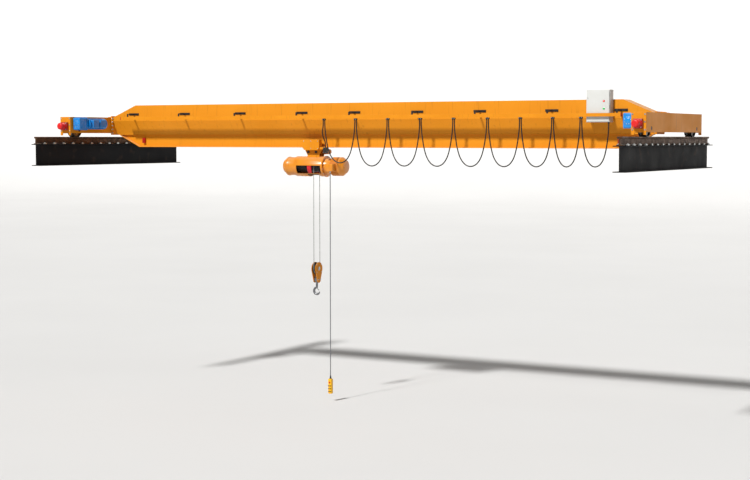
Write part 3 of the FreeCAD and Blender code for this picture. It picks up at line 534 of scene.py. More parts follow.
@dataclass(frozen=True)
class RolledSection(Finish):
    """Rolled steel under thin black primer: lengthwise roll marks and a little brown bloom."""

    bloom: str = "3A2A20"

    def dress(self, coat: Coat) -> None:
        """Add roll lines along Y and bloom in patches."""
        lines = coat.noise(9, 3.0, (1, 60, 1))
        coat.tint(coat.ranged(lines, (0.55, 0.75), (0.0, 0.35)), self.tone)
        coat.tint(coat.ranged(coat.noise(220, 9.0), (0.58, 0.74), (0.0, 0.55)), self.bloom)
        coat.height = coat.combined("ADD", coat.height, lines)


@dataclass(frozen=True)
class RailSteel(Finish):
    """A crane rail: brown oxide on its sides, and a bright band where the wheels have run."""

    bright: str = "C9C4BC"

    def dress(self, coat: Coat) -> None:
        """Polish the faces that look up, with fine scratches along the rail."""
        scratches = coat.noise(3, 2.0, (1, 120, 1))
        up = coat.ranged(coat.facing(Axis.Z), (0.9, 0.99), (0.0, 0.85))
        coat.tint(coat.combined("MULTIPLY", up, coat.ranged(scratches, (0.3, 0.6), (0.6, 1.0))), self.bright)
        coat.rough = coat.combined("SUBTRACT", coat.rough, coat.combined("MULTIPLY", up, 0.3))
        coat.height = coat.combined("ADD", coat.height, scratches)


@dataclass(frozen=True)
class CastMetal(Finish):
    """Cast or forged metal: a pitted grain, darker in its hollows."""

    hollow: str = "0C0B0A"

    def dress(self, coat: Coat) -> None:
        """Add pits of a few millimetres from rounded cells."""
        scale = 1 / (self.grain_mm * MM)
        cells = add_node(coat.tree, "ShaderNodeTexVoronoi", {"Scale": scale}, {"Vector": coat.place})
        pits = coat.ranged(cells.outputs["Distance"], (0.1, 0.6), (0.0, 1.0))
        coat.tint(coat.ranged(pits, (0.0, 0.5), (0.35, 0.0)), self.hollow)
        coat.height = coat.combined("ADD", coat.height, pits)


@dataclass(frozen=True)
class CableJacket(Finish):
    """Extruded rubber or plastic jacket: matt, with grey on its upper side that is part dust, part painted
    highlight.
    """

    # Grey laid on the upper side: dust and a painted highlight.
    dust_and_top_highlight: str = "6E6A64"

    def dress(self, coat: Coat) -> None:
        """Add grey to the side that looks up, as dust and a painted highlight."""
        up = coat.ranged(coat.facing(Axis.Z), (0.1, 0.9), (0.0, 0.4))
        # Painted highlight and dust on the upper side.
        coat.tint(coat.combined("MULTIPLY", up, coat.noise(40, 4.0)), self.dust_and_top_highlight)


@dataclass(frozen=True)
class WireRope(Finish):
    """Galvanised rope: single wires cross the strands on a slant, with grease in the hollows."""

    wires: float = 900.0

    def dress(self, coat: Coat) -> None:
        """Add wires as fine slanted waves over the rope's length and round it."""
        wave = add_node(coat.tree, "ShaderNodeTexWave",
                        {"wave_type": "BANDS", "bands_direction": "DIAGONAL", "Scale": self.wires / 6.28},
                        {"Vector": coat.place})
        coat.tint(coat.ranged(wave.outputs["Fac"], (0.0, 0.6), (0.6, 0.0)), self.tone)
        coat.height = coat.combined("ADD", coat.height, wave.outputs["Fac"])


@dataclass(frozen=True)
class Lens(Finish):
    """Moulded acrylic lens with an unlit lamp behind: saturated, glossy and faintly ribbed, with a painted
    glow of lighter colour along its ribs.
    """

    # How much lighter colour is painted along the ribs as a glow.
    painted_rib_glow: float = 0.25

    def dress(self, coat: Coat) -> None:
        """Add close vertical ribs, as on a fresnel lens, each with a painted glow of the lighter tone."""
        ribs = add_node(coat.tree, "ShaderNodeTexWave", {"Scale": 1 / (3.2 * MM) / 6.28},
                        {"Vector": coat.place})
        coat.height = coat.combined("ADD", coat.height, ribs.outputs["Fac"])
        # Painted glow: the ribs are tinted towards the lighter tone.
        coat.tint(coat.ranged(ribs.outputs["Fac"], (0.0, 1.0), (0.0, self.painted_rib_glow)), self.tone)


class Finishes:
    """Every finish on the crane, named for its material and how its surface was made."""

    # Ochre alkyd enamel rolled onto long welded plates: broad patches barely darker than the rest, and
    # a faint line and ridge at each butt weld.
    # Its tops take the enamel's pale dust and painted highlight.
    GIRDER = PlateEnamel("alkyd_enamel_on_welded_plate", "D98A1E", "D38418", blotch_mm=1400, grain_mm=7,
                         relief_mm=0.12, roughness=0.45, specular=0.12)
    # The same enamel sprayed onto the trucks and small plates: a finer grain, and pale dust with a painted
    # highlight on the tops.
    ORANGE = AlkydEnamel("alkyd_enamel_sprayed_orange", "DA8A1C", "D08014", blotch_mm=500, grain_mm=6,
                         relief_mm=0.15, roughness=0.45, specular=0.12)
    # Enamel and a thin varnish over sand-cast iron: the casting's grain ripples the highlights.
    CASTING = AlkydEnamel("alkyd_enamel_on_cast_iron", "D88718", "CC7B12", blotch_mm=180, grain_mm=5,
                          relief_mm=0.4, roughness=0.34, clear_coat=0.35)
    # Blue enamel and varnish sprayed over cast drive housings: clear highlights with a slight ripple.
    # Its pale blue tops are dust and a painted highlight.
    BLUE = AlkydEnamel("alkyd_enamel_sprayed_blue", "1088D8", "0A74BE", blotch_mm=150, grain_mm=4,
                       relief_mm=0.25, roughness=0.32, clear_coat=0.4, dust_and_top_highlight="9CC4E4", grime="04263F")
    # Thin black primer on hot-rolled sections: matt, with roll lines and a little brown bloom.
    BEAM = RolledSection("black_primer_on_rolled_steel", "08080A", "141417", blotch_mm=400, grain_mm=5,
                         relief_mm=0.2, roughness=0.66, spread=0.08, specular=0.15)
    # Hot-rolled rail left bare: brown oxide on its sides, and a bright scratched top where wheels run.
    RAIL = RailSteel("rolled_rail_steel_oxidised", "5A3C22", "3E2A1C", blotch_mm=120, grain_mm=3,
                     relief_mm=0.2, roughness=0.55, spread=0.12, metallic=0.6)
    # Zinc plated onto bolts and clips in a bath: a pale soft gleam with duller patches.
    ZINC = Finish("zinc_plated_steel", "C6C8C6", "9A9C9A", blotch_mm=30, grain_mm=1.5, relief_mm=0.05,
                  roughness=0.34, metallic=0.9)
    # Cast steel with turned faces, left bare: dark and slightly pitted.
    WHEEL = CastMetal("cast_steel_turned_wheel", "3A3430", "26211E", blotch_mm=90, grain_mm=6,
                      relief_mm=0.3, roughness=0.5, metallic=0.7)
    # Steel turned on a lathe and rolled smooth in use: the brightest metal on the crane.
    TREAD = Finish("turned_steel_tread", "8E8A84", "6A665F", blotch_mm=40, grain_mm=1.2, relief_mm=0.04,
                   roughness=0.28, metallic=1.0)
    # Polyurethane cast in a mould: an even red with a satin sheen.
    BUFFER = Finish("cast_polyurethane_red", "E01410", "C00E0A", blotch_mm=90, grain_mm=2.5, relief_mm=0.1,
                    roughness=0.42)
    # Red enamel sprayed over stops, seats and caps: satin, with pale dust and a painted highlight on the
    # tops.
    STOP = AlkydEnamel("alkyd_enamel_sprayed_red", "B80F0A", "8E0B08", blotch_mm=60, grain_mm=4,
                       relief_mm=0.2, roughness=0.42, dust_and_top_highlight="D89C90", grime="3A0A06")
    # Black enamel sprayed over brackets and anchors: satin, greyed on the tops by dust and a painted
    # highlight.
    BLACK = AlkydEnamel("alkyd_enamel_sprayed_black", "151312", "22201D", blotch_mm=120, grain_mm=4,
                        relief_mm=0.2, roughness=0.45, dust_and_top_highlight="5B564F", grime="050505")
    # Neoprene pressed out round the cores: matt black, a little grey on its upper side from dust and a
    # painted highlight.
    JACKET = CableJacket("neoprene_jacket_extruded", "0D0C0B", "191715", blotch_mm=60, grain_mm=1.5,
                         relief_mm=0.08, roughness=0.55)
    # Glass-filled nylon moulded under pressure: an even black with a fine grain and little shine.
    NYLON = Finish("glass_filled_nylon_moulded_black", "141414", "242424", blotch_mm=40, grain_mm=1.2,
                   relief_mm=0.08, roughness=0.5)
    # Nylon cast and turned to a ring: a plain red with soft highlights.
    GUIDE = Finish("cast_nylon_red", "D3121C", "A80C14", blotch_mm=50, grain_mm=1.6, relief_mm=0.06,
                   roughness=0.38)
    # Drum steel turned on a lathe and oiled: dark, with broad soft highlights.
    DRUM = CastMetal("machined_drum_steel_oiled", "2C3036", "16181B", blotch_mm=80, grain_mm=4,
                     relief_mm=0.15, roughness=0.42, metallic=0.6)
    # Galvanised wires laid into six strands: pale grey, darker in the hollows between wires.
    ROPE = WireRope("galvanised_wire_rope_laid", "B2B2AF", "7C7A76", blotch_mm=50, grain_mm=1.5,
                    relief_mm=0.2, roughness=0.42, metallic=0.35, follows_uv=True)
    # PVC pressed out round the cores: a smooth mid grey with a little dust and a painted highlight on its
    # upper side.
    PVC = CableJacket("pvc_jacket_extruded_grey", "66676A", "5C5D60", blotch_mm=60, grain_mm=1.5,
                      relief_mm=0.06, roughness=0.5)
    # The same rope wound on the drum and greased: darker than the free falls.
    WOUND = Finish("galvanised_wire_rope_wound", "4A4C50", "23252A", blotch_mm=24, grain_mm=3,
                   relief_mm=0.5, roughness=0.45, metallic=0.6)
    # Steel forged between dies and blackened: a mid-grey metal with a shallow grain.
    FORGED = CastMetal("drop_forged_steel_blackened", "8E8F91", "67686A", blotch_mm=70, grain_mm=7,
                       relief_mm=0.2, roughness=0.36, metallic=0.8)
    # Polyester powder baked onto sheet steel: light grey, with a fine orange peel in its highlights.
    POWDER = Finish("polyester_powder_coat_light_grey", "CDCDC9", "C6C6C1", blotch_mm=260, grain_mm=2.2,
                    relief_mm=0.18, roughness=0.42)
    # Polyurethane foamed in place: dull black with next to no highlight.
    GASKET = Finish("foamed_gasket_black", "1A1A1A", "262626", blotch_mm=30, grain_mm=2, relief_mm=0.2,
                    roughness=0.8)
    # Acrylic moulded in a polished tool, with fine ribs: a deep red with sharp highlights, and lighter red
    # painted along the ribs as a glow.
    RED_LENS = Lens("acrylic_lens_red", "E5150F", "FF5A48", blotch_mm=20, grain_mm=1, relief_mm=0.1,
                    roughness=0.12, clear_coat=0.6)
    # The same lens in green.
    GREEN_LENS = Lens("acrylic_lens_green", "0FA63A", "58E07C", blotch_mm=20, grain_mm=1, relief_mm=0.1,
                      roughness=0.12, clear_coat=0.6)
    # ABS moulded in a textured tool: a warm yellow with a satin sheen.
    YELLOW = Finish("abs_moulded_yellow", "F2B705", "E3A602", blotch_mm=70, grain_mm=1.4, relief_mm=0.08,
                    roughness=0.38)
    # Silicone moulded over the switches: black with a soft sheen.
    BUTTON = Finish("silicone_button_black", "161616", "242424", blotch_mm=12, grain_mm=0.8, relief_mm=0.04,
                    roughness=0.5)
    # The same silicone in red.
    BUTTON_RED = Finish("silicone_button_red", "C8140F", "A60F0B", blotch_mm=12, grain_mm=0.8,
                        relief_mm=0.04, roughness=0.4)


# ---------------------------------------------------------------- making pieces


def show(skin: Skin, name: str, finish: Finish, body: str | None, replaced: tuple[str, ...] = (),
         crease: float = 35.0) -> bpy.types.Object:
    """Put a surface into the scene with its finish and let it ride a body.

    Args:
        skin: the surface.
        name: the piece's name.
        finish: what it is made of.
        body: the body that it rides, or none.
        replaced: the nodes that it stands for.
        crease: the angle in degrees beyond which an edge stays sharp.
    Returns:
        The object.
    """
    data = skin.mesh(name)
    data.polygons.foreach_set("use_smooth", np.ones(len(data.polygons), bool))
    data.set_sharp_from_angle(angle=math.radians(crease))
    data.materials.append(finish.material())
    piece = bpy.data.objects.new(name, data)
    bpy.context.scene.collection.objects.link(piece)
    if body:
        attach(piece, body)
    if replaced:
        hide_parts(*replaced)
    log.info("%s: %d faces on %s", name, len(data.polygons), body)
    return piece


def finish_node(name: str, finish: Finish, edge_mm: float = 2.0) -> None:
    """Give a piece of the frame its finish and slightly rounded edges.

    Args:
        name: the node's name.
        finish: what it is made of.
        edge_mm: width of the rounding, in millimetres, or 0 for none.
    """
    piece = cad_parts[name]
    piece.data.materials.clear()
    piece.data.materials.append(finish.material())
    joined = piece.modifiers.new("joined", "WELD")
    joined.merge_threshold = 1e-5
    flat = piece.modifiers.new("flat", "DECIMATE")
    flat.decimate_type = "DISSOLVE"
    flat.angle_limit = math.radians(1)
    if edge_mm:
        rounding = piece.modifiers.new("rounding", "BEVEL")
        rounding.width = edge_mm * MM
        rounding.segments = 2
        rounding.limit_method = "ANGLE"
        rounding.angle_limit = math.radians(40)
        rounding.harden_normals = True
    log.info("%s: finished as %s", name, finish.name)


def centre_of(name: str) -> Vector:
    """The middle of a node's box at rest, in metres."""
    low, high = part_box(name)
    return (low + high) / 2


def ring_places(axis: Axis, centre: tuple[float, float, float], radius: float, count: int,
                start: float = 0.0) -> np.ndarray:
    """Places spread evenly round a circle: centre plus radius times cosine and sine of each angle.

    Args:
        axis: the direction that the circle faces.
        centre: its centre.
        radius: its radius.
        count: how many places.
        start: angle of the first place, in degrees.
    Returns:
        One row of X, Y, Z per place.
    """
    turn = math.radians(start) + np.linspace(0, 2 * np.pi, count, endpoint=False)
    places = np.tile(np.array(centre, float), (count, 1))
    places[:, (axis.value + 1) % 3] += radius * np.cos(turn)
    places[:, (axis.value + 2) % 3] += radius * np.sin(turn)
    return places


def grid_places(*spans: tuple[float, float, int]) -> np.ndarray:
    """Places on a regular grid, from a first value, last value and count along X, Y and Z."""
    axes = [np.linspace(*span) for span in spans]
    return np.stack([axis.ravel() for axis in np.meshgrid(*axes, indexing="ij")], 1)


# ---------------------------------------------------------------- cables and rope


@dataclass
class CableRun:
    """One free cable: chosen points, a quadratic spline through their pull, and a tube on that spline."""

    name: str
    points: list[tuple[float, float, float]]
    diameter: float
    finish: Finish = Finishes.JACKET

    def line(self) -> np.ndarray:
        """Read closely spaced points from the spline that the chosen points control.

        Returns:
            The points, from one end to the other.
        """
        curve = bpy.data.curves.new(self.name + "_line", "CURVE")
        curve.dimensions = "3D"
        curve.resolution_u = 12
        spline = curve.splines.new("NURBS")
        spline.points.add(len(self.points) - 1)
        spline.points.foreach_set("co", [value for point in self.points for value in (*point, 1.0)])
        spline.order_u = 3
        spline.use_endpoint_u = True
        holder = bpy.data.objects.new(self.name + "_line", curve)
        mesh = bpy.data.meshes.new_from_object(holder)
        line = np.zeros(len(mesh.vertices) * 3)
        mesh.vertices.foreach_get("co", line)
        bpy.data.objects.remove(holder)
        bpy.data.meshes.remove(mesh)
        bpy.data.curves.remove(curve)
        return line.reshape(-1, 3)

    def build(self) -> tuple[bpy.types.Object, np.ndarray, float]:
        """Sweep a circle along the spline; its UVs run in metres along and round the cable.

        Returns:
            The tube, its centre line and the length of that line.
        """
        line = self.line()
        length = float(np.linalg.norm(np.diff(line, axis=0), axis=1).sum())
        skin = swept(line, circle(self.diameter / 2, 12), (0.31, 0.95, 0.07))
        skin.uvs = [uv * [length, math.pi * self.diameter] for uv in skin.uvs]
        return show(skin, self.name, self.finish, None, crease=60), line, length


@dataclass
class FestoonCables:
    """The run of cable loops under the festoon track, from the trolley to the cabinet.

    Lowest holds the height of each loop's lowest chosen point, and lengths the length of each cable.
    Hang holds the chosen points, as shares of the way across and of the depth.
    """

    diameter: float = 0.026
    nip: float = 0.019
    clamp_low: float = 1.036
    ease: float = 0.08
    lowest: tuple[float, ...] = (0.085, 0.022, 0.028, 0.030, 0.033, 0.036, 0.040, 0.044, 0.048)
    lengths: tuple[float, ...] = (2.210, 2.326, 2.309, 2.303, 2.297, 2.265, 2.240, 2.177, 2.055)
    hang: tuple[tuple[float, float], ...] = (
        (0, 1), (0, 0.83), (0.038, 0.61), (0.09, 0.39), (0.175, 0.19), (0.315, 0.05), (0.5, -0.005),
        (0.69, 0.045), (0.83, 0.185), (0.915, 0.40), (0.965, 0.62), (1, 0.82), (1, 1))

    def gland(self) -> tuple[float, float, float]:
        """Where the last loop enters the cabinet's gland: the gland's lower face."""
        low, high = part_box("control_cabinet")
        return high.x - GLAND_INSET, GLAND_Y, low.z

    def route(self, number: int) -> list[tuple[float, float, float]]:
        """The chosen points of one loop: shares of the way across and of its depth.

        Args:
            number: the loop, from 1 at the trolley to 9 at the cabinet.
        Returns:
            The points in metres.
        """
        start = centre_of(f"festoon_carrier_{number}")
        first = (start.x + self.nip, start.y, self.clamp_low)
        last = self.gland()
        if number < len(self.lowest):
            stop = centre_of(f"festoon_carrier_{number + 1}")
            last = (stop.x - self.nip, stop.y, self.clamp_low)
        low = self.lowest[number - 1]
        points = []
        for across, up in self.hang:
            top = first[2] if across < 0.5 else last[2]
            points.append((first[0] + (last[0] - first[0]) * across,
                           first[1] + (last[1] - first[1]) * across, low + (top - low) * up))
        return points

    def build(self) -> None:
        """Make the nine loops, each hung between the two pieces that hold it and riding no body."""
        for number, length in enumerate(self.lengths, 1):
            points = self.route(number)
            piece, line, _ = CableRun(f"festoon_loop_{number}", points, self.diameter).build()
            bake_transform(piece)
            if number == 1:
                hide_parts("festoon_loops")


@dataclass
class FestoonDrop:
    """The cable from the first carrier down to the trolley's socket."""

    diameter: float = 0.026
    length: float = 0.684
    points: tuple[tuple[float, float, float], ...] = (
        (6.331, -0.466, 1.036), (6.331, -0.466, 0.915), (6.294, -0.446, 0.790), (6.260, -0.376, 0.690),
        (6.246, -0.290, 0.610), (6.255, -0.245, 0.530), (6.255, -0.245, 0.430))

    def build(self) -> None:
        """Make the cable; it rides the trolley, as both its ends do."""
        piece, line, _ = CableRun("festoon_drop_cable", list(self.points), self.diameter).build()
        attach(piece, "trolley")
        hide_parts("festoon_drop")


@dataclass
class Pendant:
    """The pendant cable and the push-button station on its end."""

    diameter: float = 0.020
    length: float = 4.640
    top: float = -0.143
    button: float = 0.015

    def build(self) -> None:
        """Finish the station, and make its boot, buttons and cable, all riding the trolley."""
        low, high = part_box("pendant_station")
        x, y = centre_of("pendant_station").xy
        finish_node("pendant_station", Finishes.YELLOW, 14)
        sleeve = revolved([(high.z - 0.002, 0.030), (high.z + 0.004, 0.029), (high.z + 0.008, 0.021),
                           (high.z + 0.045, 0.0165), (high.z + 0.070, 0.0125)], Axis.Z, (x, y, 0), 32)
        show(sleeve, "pendant_boot", Finishes.BUTTON, "trolley")
        self.buttons(low, high, x)
        points = [(x, y, self.top - self.length * share) for share in (0, 0.25, 0.5, 0.75, 1)]
        cable, line, _ = CableRun("pendant_cable_tube", points, self.diameter, Finishes.PVC).build()
        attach(cable, "trolley")
        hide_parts("pendant_cable")

    def buttons(self, low: Vector, high: Vector, x: float) -> None:
        """Two columns of travel buttons under one red stop button, on the face towards -Y.

        Args:
            low: the station's lowest corner.
            high: its highest corner.
            x: its middle.
        """
        face = low.y
        r = self.button * 0.8
        profile = [(0.001, r * 1.25), (-0.003, r * 1.22), (-0.0035, r), (-0.008, r * 0.96), (-0.010, r * 0.7)]
        one = revolved(profile, Axis.Y, (0, 0, 0), 24)
        places = grid_places((x - 0.019, x + 0.019, 2), (face, face, 1), (low.z + 0.05, high.z - 0.16, 3))
        show(one.repeated(places), "pendant_buttons", Finishes.BUTTON, "trolley")
        mushroom = [(s * 1.1, radius * 1.5) for s, radius in profile]
        stop = revolved(mushroom, Axis.Y, (x, face, high.z - 0.085), 32)
        show(stop, "pendant_stop_button", Finishes.BUTTON_RED, "trolley")


@dataclass
class HoistRopes:
    """Two falls of wire rope and the turn under the sheave: six strands laid round a core."""

    radius: float = 0.0075
    strands: int = 6
    lay_length: float = 0.095
    step: float = 0.008

    def build(self) -> None:
        """Sweep a six-lobed ring that twists once every lay length, down, round the sheave and up.

        Ring radius = r (0.84 + 0.16 |cos(3 (a - twist))|), so each lobe is a strand.
        """
        centre = centre_of("sheave")
        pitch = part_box("rope_falls")[1].y - self.radius
        turn = np.linspace(np.pi, 2 * np.pi, 48)
        fall = np.arange(0, centre.z, -self.step)
        under = np.stack([np.full(48, centre.x), pitch * np.cos(turn), centre.z + pitch * np.sin(turn)], 1)
        down = np.stack([np.full(len(fall), centre.x), np.full(len(fall), -pitch), fall], 1)
        line = np.concatenate([down, under, (down * [1, -1, 1])[::-1]])
        at = np.concatenate([[0], np.cumsum(np.linalg.norm(np.diff(line, axis=0), axis=1))])
        angle = np.linspace(0, 2 * np.pi, 24, endpoint=False)[None]
        twist = (2 * np.pi * at / self.lay_length)[:, None]
        ring = self.radius * (0.84 + 0.16 * np.abs(np.cos(self.strands / 2 * (angle - twist))))
        rings = np.stack([ring * np.cos(angle), ring * np.sin(angle)], 2)
        skin = swept(line, rings, (1, 0, 0))
        skin.uvs = [uv * [at[-1], 2 * math.pi * self.radius] for uv in skin.uvs]
        rope = show(skin, "hoist_rope", Finishes.ROPE, None, (), 60)
        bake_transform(rope)
        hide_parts("rope_falls")


# ---------------------------------------------------------------- runway and bridge


@dataclass
class Runways:
    """Two runway beams with a rail on each and clips that hold the rail's foot."""

    bolt_across: float = 0.030
    bolt_height: float = 0.015
    row: float = 0.092
    clips: int = 16

    def build(self) -> None:
        """Finish the rolled pieces, and bolt each clip down."""
        for side in ("left", "right"):
            finish_node(f"runway_beam_{side}", Finishes.BEAM, 3)
            finish_node(f"rail_{side}", Finishes.RAIL, 4)
        finish_node("rail_clips", Finishes.ZINC, 2)
        low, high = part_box("rail_clips")
        first, last = low.y + 0.04, high.y - 0.04
        head = bolt(Axis.Z, 1, self.bolt_across, self.bolt_height)
        rows = [centre_of(f"rail_{side}").x + way * self.row for side in ("left", "right") for way in (-1, 1)]
        places = np.concatenate([grid_places((x, x, 1), (first, last, self.clips), (high.z, high.z, 1))
                                 for x in rows])
        show(head.repeated(places), "clip_bolts", Finishes.ZINC, "runway", ())


@dataclass
class Girder:
    """The box girder with its track beam, its plates bolted to the trucks, and its stops."""

    bead: float = 0.006
    plate: float = 0.02
    weld_y: float = 0.21
    weld_low: float = 1.052
    weld_high: float = 0.42
    bolt_y: float = 0.224
    bolt_across: float = 0.034
    bolt_height: float = 0.018
    washer_y: float = 0.035

    def build(self) -> None:
        """Finish the plates and stops, and add welds, joint bolts and stop washers."""
        for name in ("girder_box", "track_web", "track_flange", "track_flange_ends"):
            finish_node(name, Finishes.GIRDER, 3)
        for name in ("girder_end_plates", "splice_plates"):
            finish_node(name, Finishes.ORANGE, 3)
        finish_node("end_stops", Finishes.STOP, 4)
        self.welds()
        self.joint_bolts()
        self.stop_washers()

    def welds(self) -> None:
        """Beads along the web's lower and upper corners, and up the box's corners at the joint plates."""
        low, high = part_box("track_flange")
        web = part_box("track_web")
        rows = []
        for way in (-1, 1):
            y = way * (web[1].y + self.bead * 0.5)
            rows.append(weld(np.array([(low.x, y, high.z), (high.x, y, high.z)]), self.bead, (0, 0, 1)))
            rows.append(weld(np.array([(low.x, y, web[1].z), (high.x, y, web[1].z)]), self.bead, (0, 0, 1)))
        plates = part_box("girder_end_plates")
        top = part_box("end_truck_left")[0].z + self.weld_high
        for x in (plates[0].x + self.plate, plates[1].x - self.plate):
            for way in (-1, 1):
                y = way * self.weld_y
                rows.append(weld(np.array([(x, y, self.weld_low), (x, y, top)]), self.bead, (0, 1, 0)))
        show(rows[0].joined(*rows[1:]), "girder_welds", Finishes.GIRDER, "bridge", (), 60)

    def joint_bolts(self) -> None:
        """Two columns of bolts through each joint between girder and truck, on the girder's side."""
        low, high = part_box("girder_end_plates")
        rows = []
        for x, way in ((low.x + self.plate, 1), (high.x - self.plate, -1)):
            head = bolt(Axis.X, way, self.bolt_across, self.bolt_height)
            rows += [head.repeated(grid_places((x, x, 1), (y, y, 1), (low.z + 0.05, high.z - 0.06, 5)))
                     for y in (-self.bolt_y, self.bolt_y)]
        show(rows[0].joined(*rows[1:]), "joint_bolts", Finishes.ZINC, "bridge")

    def stop_washers(self) -> None:
        """Two zinc washers on the outer face of each end stop."""
        low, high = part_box("end_stops")
        middle = (low.z + high.z) / 2
        pads = []
        for x, way in ((low.x, -1), (high.x, 1)):
            for y in (-self.washer_y, self.washer_y):
                pads.append(revolved([(0, 0.022), (way * 0.004, 0.020)], Axis.X, (x, y, middle), 24))
        show(pads[0].joined(*pads[1:]), "stop_washers", Finishes.ZINC, "bridge")


@dataclass
class EndTrucks:
    """The two trucks that run on the rails, with their wheels and buffers."""

    tread: float = 0.160
    seat_depth: float = 0.070
    nose: float = 0.080
    bolt_half: float = 0.125

    def build(self) -> None:
        """Finish the trucks, and model their wheels, buffers and bolts."""
        for name in ("end_truck_left", "end_truck_right", "truck_end_plates"):
            finish_node(name, Finishes.ORANGE, 4)
        for side in ("left", "right"):
            for end in ("front", "back"):
                self.wheel(f"crane_wheel_{side}_{end}")
        self.buffers()
        self.end_bolts()

    def wheel(self, name: str) -> None:
        """A cast wheel: hub, sunk web, tread and two rims, turned about X, with a bright tread.

        Args:
            name: the wheel's node, which is also its body.
        """
        centre = centre_of(name)
        tread = self.tread
        half = [(-0.148, 0.036), (-0.145, 0.040), (-0.112, 0.040), (-0.110, 0.058), (-0.082, 0.062),
                (-0.075, 0.070), (-0.050, 0.078), (-0.046, 0.086), (-0.046, 0.130), (-0.052, 0.139),
                (-0.072, 0.146), (-0.075, 0.150), (-0.075, 0.174), (-0.071, 0.178), (-0.058, 0.178),
                (-0.055, 0.172), (-0.054, tread + 0.0005), (-0.050, tread - 0.0008)]
        profile = half + [(-s, r) for s, r in reversed(half)]
        show(revolved(profile, Axis.X, tuple(centre), 96), f"{name}_casting", Finishes.WHEEL, name,
             (name,), 30)
        band = revolved([(-0.049, tread - 0.001), (-0.048, tread), (0.048, tread), (0.049, tread - 0.001)],
                        Axis.X, tuple(centre), 96)
        show(band, f"{name}_tread", Finishes.TREAD, name)
        holes = ring_places(Axis.X, tuple(centre), 0.107, 6)
        plug = revolved([(-0.0475, 0.016), (-0.047, 0.018), (0.047, 0.018), (0.0475, 0.016)], Axis.X,
                        (0, 0, 0), 20)
        show(plug.repeated(holes), f"{name}_balance_plugs", Finishes.BLACK, name)

    def buffers(self) -> None:
        """Each buffer: a red seat block with four bolts, and a ringed, domed nose."""
        low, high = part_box("buffers")
        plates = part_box("truck_end_plates")
        z = (low.z + high.z) / 2
        half = (high.z - low.z) / 2
        seats, noses, heads = [], [], []
        for x in (low.x + half, high.x - half):
            for way, face, tip in ((-1, plates[0].y, low.y), (1, plates[1].y, high.y)):
                seat_end = face + way * self.seat_depth
                ends = sorted((face, seat_end))
                seats.append(cushioned((x - half, ends[0], z - half), (x + half, ends[1], z + half), 0.012))
                span = tip - seat_end
                radius = self.nose
                rings = [(0.0, radius)]
                for share in (0.10, 0.32, 0.54):
                    rings += [(span * share, radius), (span * (share + 0.02), radius * 0.93),
                              (span * (share + 0.09), radius * 0.93), (span * (share + 0.11), radius)]
                dome = np.linspace(0, np.pi / 2, 8)
                rings += [(span * (0.80 + 0.20 * math.sin(a)), radius * (0.55 + 0.45 * math.cos(a)))
                          for a in dome]
                noses.append(revolved(rings, Axis.Y, (x, seat_end, z), 56))
                spots = grid_places((x - 0.07, x + 0.07, 2), (seat_end, seat_end, 1), (z - 0.07, z + 0.07, 2))
                heads.append(bolt(Axis.Y, way, 0.022, 0.010).repeated(spots))
        show(seats[0].joined(*seats[1:]), "buffer_seats", Finishes.STOP, "bridge", ("buffers",))
        show(noses[0].joined(*noses[1:]), "buffer_noses", Finishes.BUFFER, "bridge", ())
        show(heads[0].joined(*heads[1:]), "buffer_bolts", Finishes.ZINC, "bridge")

    def end_bolts(self) -> None:
        """Bolts that hold each truck's end plate, three on each side of the buffer."""
        low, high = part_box("truck_end_plates")
        rows = []
        for x in (centre_of("end_truck_left").x - 0.01, centre_of("end_truck_right").x + 0.01):
            for y, way in ((low.y, -1), (high.y, 1)):
                head = bolt(Axis.Y, way, 0.026, 0.012)
                rows.append(head.repeated(grid_places((x - self.bolt_half, x + self.bolt_half, 2), (y, y, 1),
                                                      (high.z - 0.04, low.z + 0.10, 3))))
        show(rows[0].joined(*rows[1:]), "end_plate_bolts", Finishes.ZINC, "bridge")


